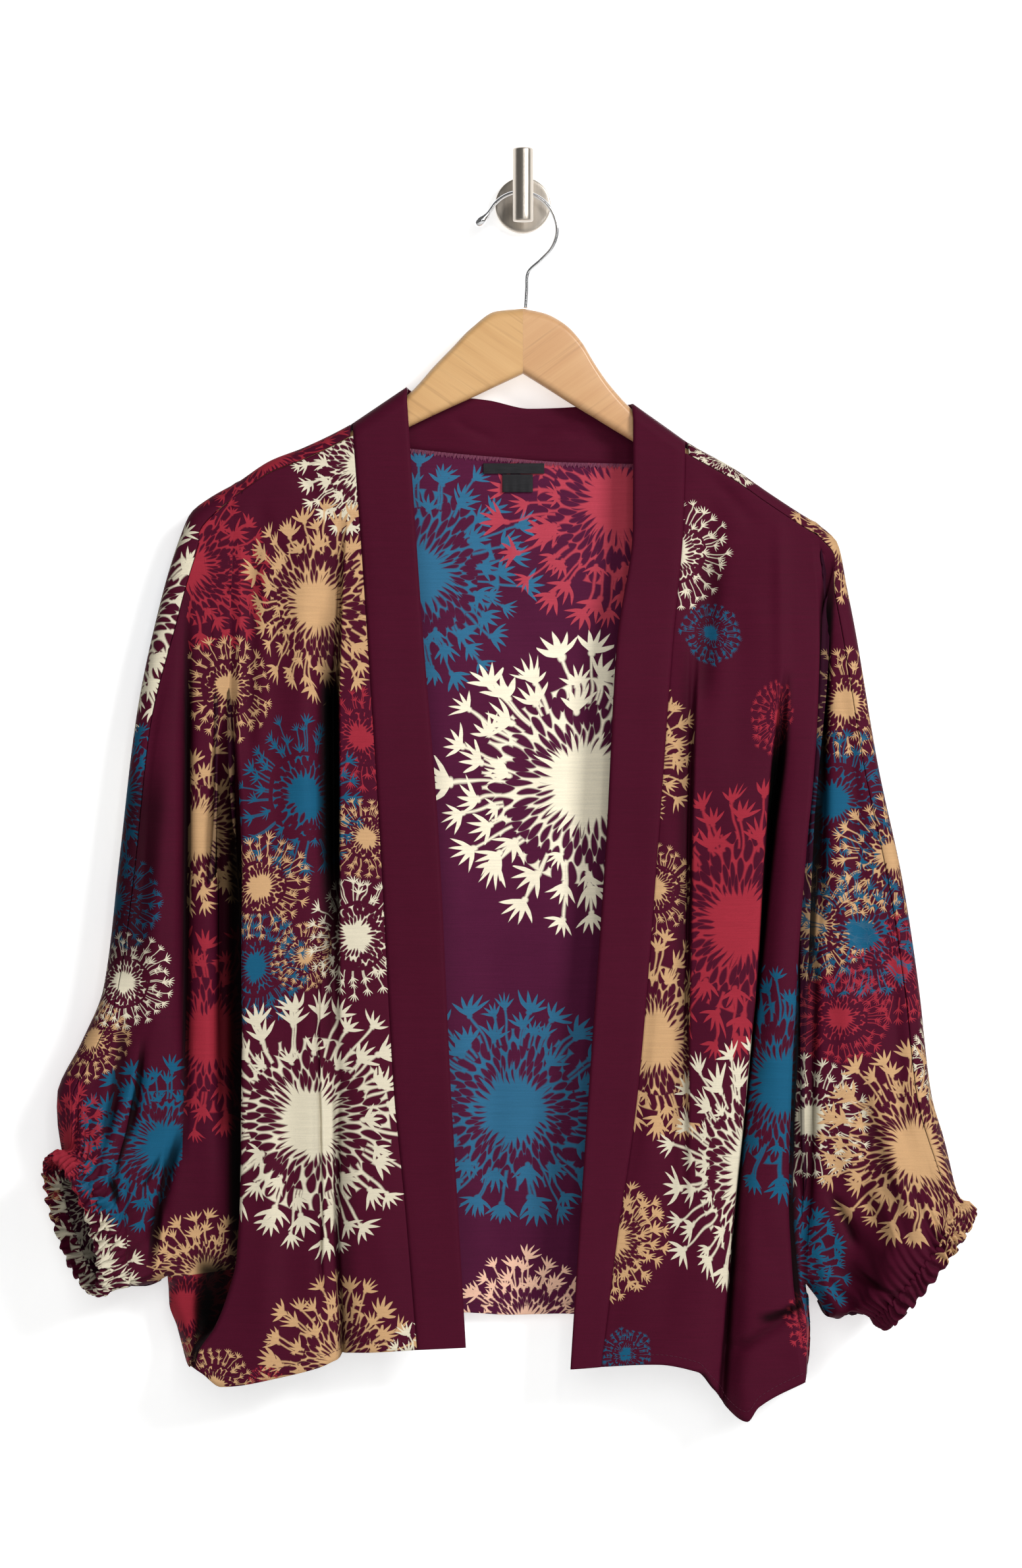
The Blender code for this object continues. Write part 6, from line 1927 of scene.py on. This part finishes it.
# Cloth pieces
pieces = {}
cloths = {f"front_{side}": front_cloth(side) for side in OUTWARD}
cloths["back"] = back_cloth()
for name, cloth in cloths.items():
    pieces[name] = make_panel(name, cloth, PRINTED, CLOTH_SHOWN)
for side in OUTWARD:
    facing = -OUTWARD[side]
    pieces[f"band_{side}"] = make_plain(f"band_{side}_cloth", band_cloth(side), facing, PLAIN, BAND_SHOWN)
    pieces[f"cuff_{side}"] = make_cuff(side, PRINTED)
pieces["band_neck"] = make_plain("band_neck_cloth", neck_band_cloth(), 1.0, PLAIN, BAND_SHOWN)
for label_name in LABELS:
    pieces[label_name] = make_label(label_name, TAPE)
for side in OUTWARD:
    pieces[f"hanger_arm_{side}"] = make_arm(side, WOODS[side])
pieces["hanger_hook"] = make_hook(CHROME)
pieces.update(make_wall_hook(NICKEL))

for node, piece in pieces.items():
    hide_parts(node)


# Stitches
def hem_stitches():
    """Stitches along the hems: on the face of each front, and on both faces of the back."""
    runs = []
    for name, (skin, cells, facing, *_) in cloths.items():
        normals = skin_normals(skin, cells, facing)
        columns = range(2, SLEEVE_START + SIDE_COLUMN - 1)
        if name == "back":
            edge = len(SLEEVE) - SIDE_COLUMN + 1
            columns = range(edge, skin.shape[1] - edge)
        runs.append(line_above_hem(skin, normals, columns, STITCH_LIFT))
    points, outward = line_above_hem(skin, normals, columns, -CLOTH_SHOWN - STITCH_LIFT)
    runs.append((points, -outward))
    parts = [spaced(*run, STITCH_PITCH, STITCH_LONG) for run in runs]
    return dashes("hem_stitches", *(np.concatenate(part) for part in zip(*parts)), STITCH_RADIUS, THREAD)


def neck_overlock():
    """Overlock thread that binds the neck seam on the inside, in a close uneven zigzag."""
    x = np.arange(*OVERLOCK_X, OVERLOCK_PITCH)
    z = read(NECKLINE, "x", "z", x) - 0.6
    y = back_depth(x, z) - CLOTH - 0.25
    uneven = 0.7 * np.sin(x * 2.3) + 0.5 * np.sin(x * 5.9)
    upper = np.stack([x + 0.5, y, z + 0.4], axis=1)
    lower = np.stack([x, y, z - OVERLOCK_LONG - uneven], axis=1)
    outward = np.broadcast_to([0.0, -1.0, 0.0], upper.shape)
    return dashes("neck_overlock", upper, lower, outward, OVERLOCK_RADIUS, OVERLOCK)


for threads in (hem_stitches(), neck_overlock()):
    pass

# Wall, floor, light and camera


def plane(name, corners, material):
    mesh = bpy.data.meshes.new(name)
    mesh.from_pydata(corners, [], [(0, 1, 2, 3)])
    mesh.materials.append(material)
    made = put_in_scene(name, mesh)
    return made


wall_paint = stage_material("wall_paint", (0.80, 0.80, 0.80), 0.45, True)
floor_paint = stage_material("floor_paint", (0.80, 0.80, 0.79), 0.0, False)
backdrop = plane(
    "backdrop",
    [(-3, WALL_Y, FLOOR_Z), (3, WALL_Y, FLOOR_Z), (3, WALL_Y, 2.2), (-3, WALL_Y, 2.2)],
    wall_paint,
)
backdrop.visible_diffuse = False
backdrop.visible_shadow = False
plane("floor", [(-4, -5, FLOOR_Z), (4, -5, FLOOR_Z), (4, 4, FLOOR_Z), (-4, 4, FLOOR_Z)], floor_paint)


def area_light(name, place, aim, size, power):
    light = bpy.data.lights.new(name, "AREA")
    light.shape = "RECTANGLE"
    light.size, light.size_y = size
    light.energy = power
    made = put_in_scene(name, light)
    made.location = place
    direction = Vector(aim) - Vector(place)
    made.rotation_euler = direction.to_track_quat("-Z", "Y").to_euler()
    return made


area_light("key", (1.9, -2.3, 1.0), JACKET_MIDDLE, (0.9, 0.9), 78)
area_light("front", (-0.3, -3.6, 0.1), JACKET_MIDDLE, (2.2, 2.2), 38).visible_glossy = False
area_light("strip", (0.5, -2.6, 0.5), (0.0, 0.0, 0.0), (0.12, 1.4), 5)
area_light("behind", (0.3, 3.3, 0.5), JACKET_MIDDLE, (1.4, 1.4), 85)

world = bpy.data.worlds.new("studio")
world.use_nodes = True
sky = world.node_tree.nodes["Background"].inputs
sky["Color"].default_value = (1.0, 1.0, 1.0, 1.0)
sky["Strength"].default_value = SKY_STRENGTH
scene = bpy.context.scene
scene.world = world
scene.view_settings.view_transform = "Standard"

CAMERA_PLACE = (-0.00836, -3.2, -0.4072)
camera = bpy.data.cameras.new("camera")
camera.sensor_fit = "VERTICAL"
camera.sensor_height = 36.0
camera.lens = CAMERA_LENS
camera_stand = put_in_scene("camera", camera)
camera_stand.location = CAMERA_PLACE
camera_stand.rotation_euler = (math.radians(90), 0.0, 0.0)
scene.camera = camera_stand
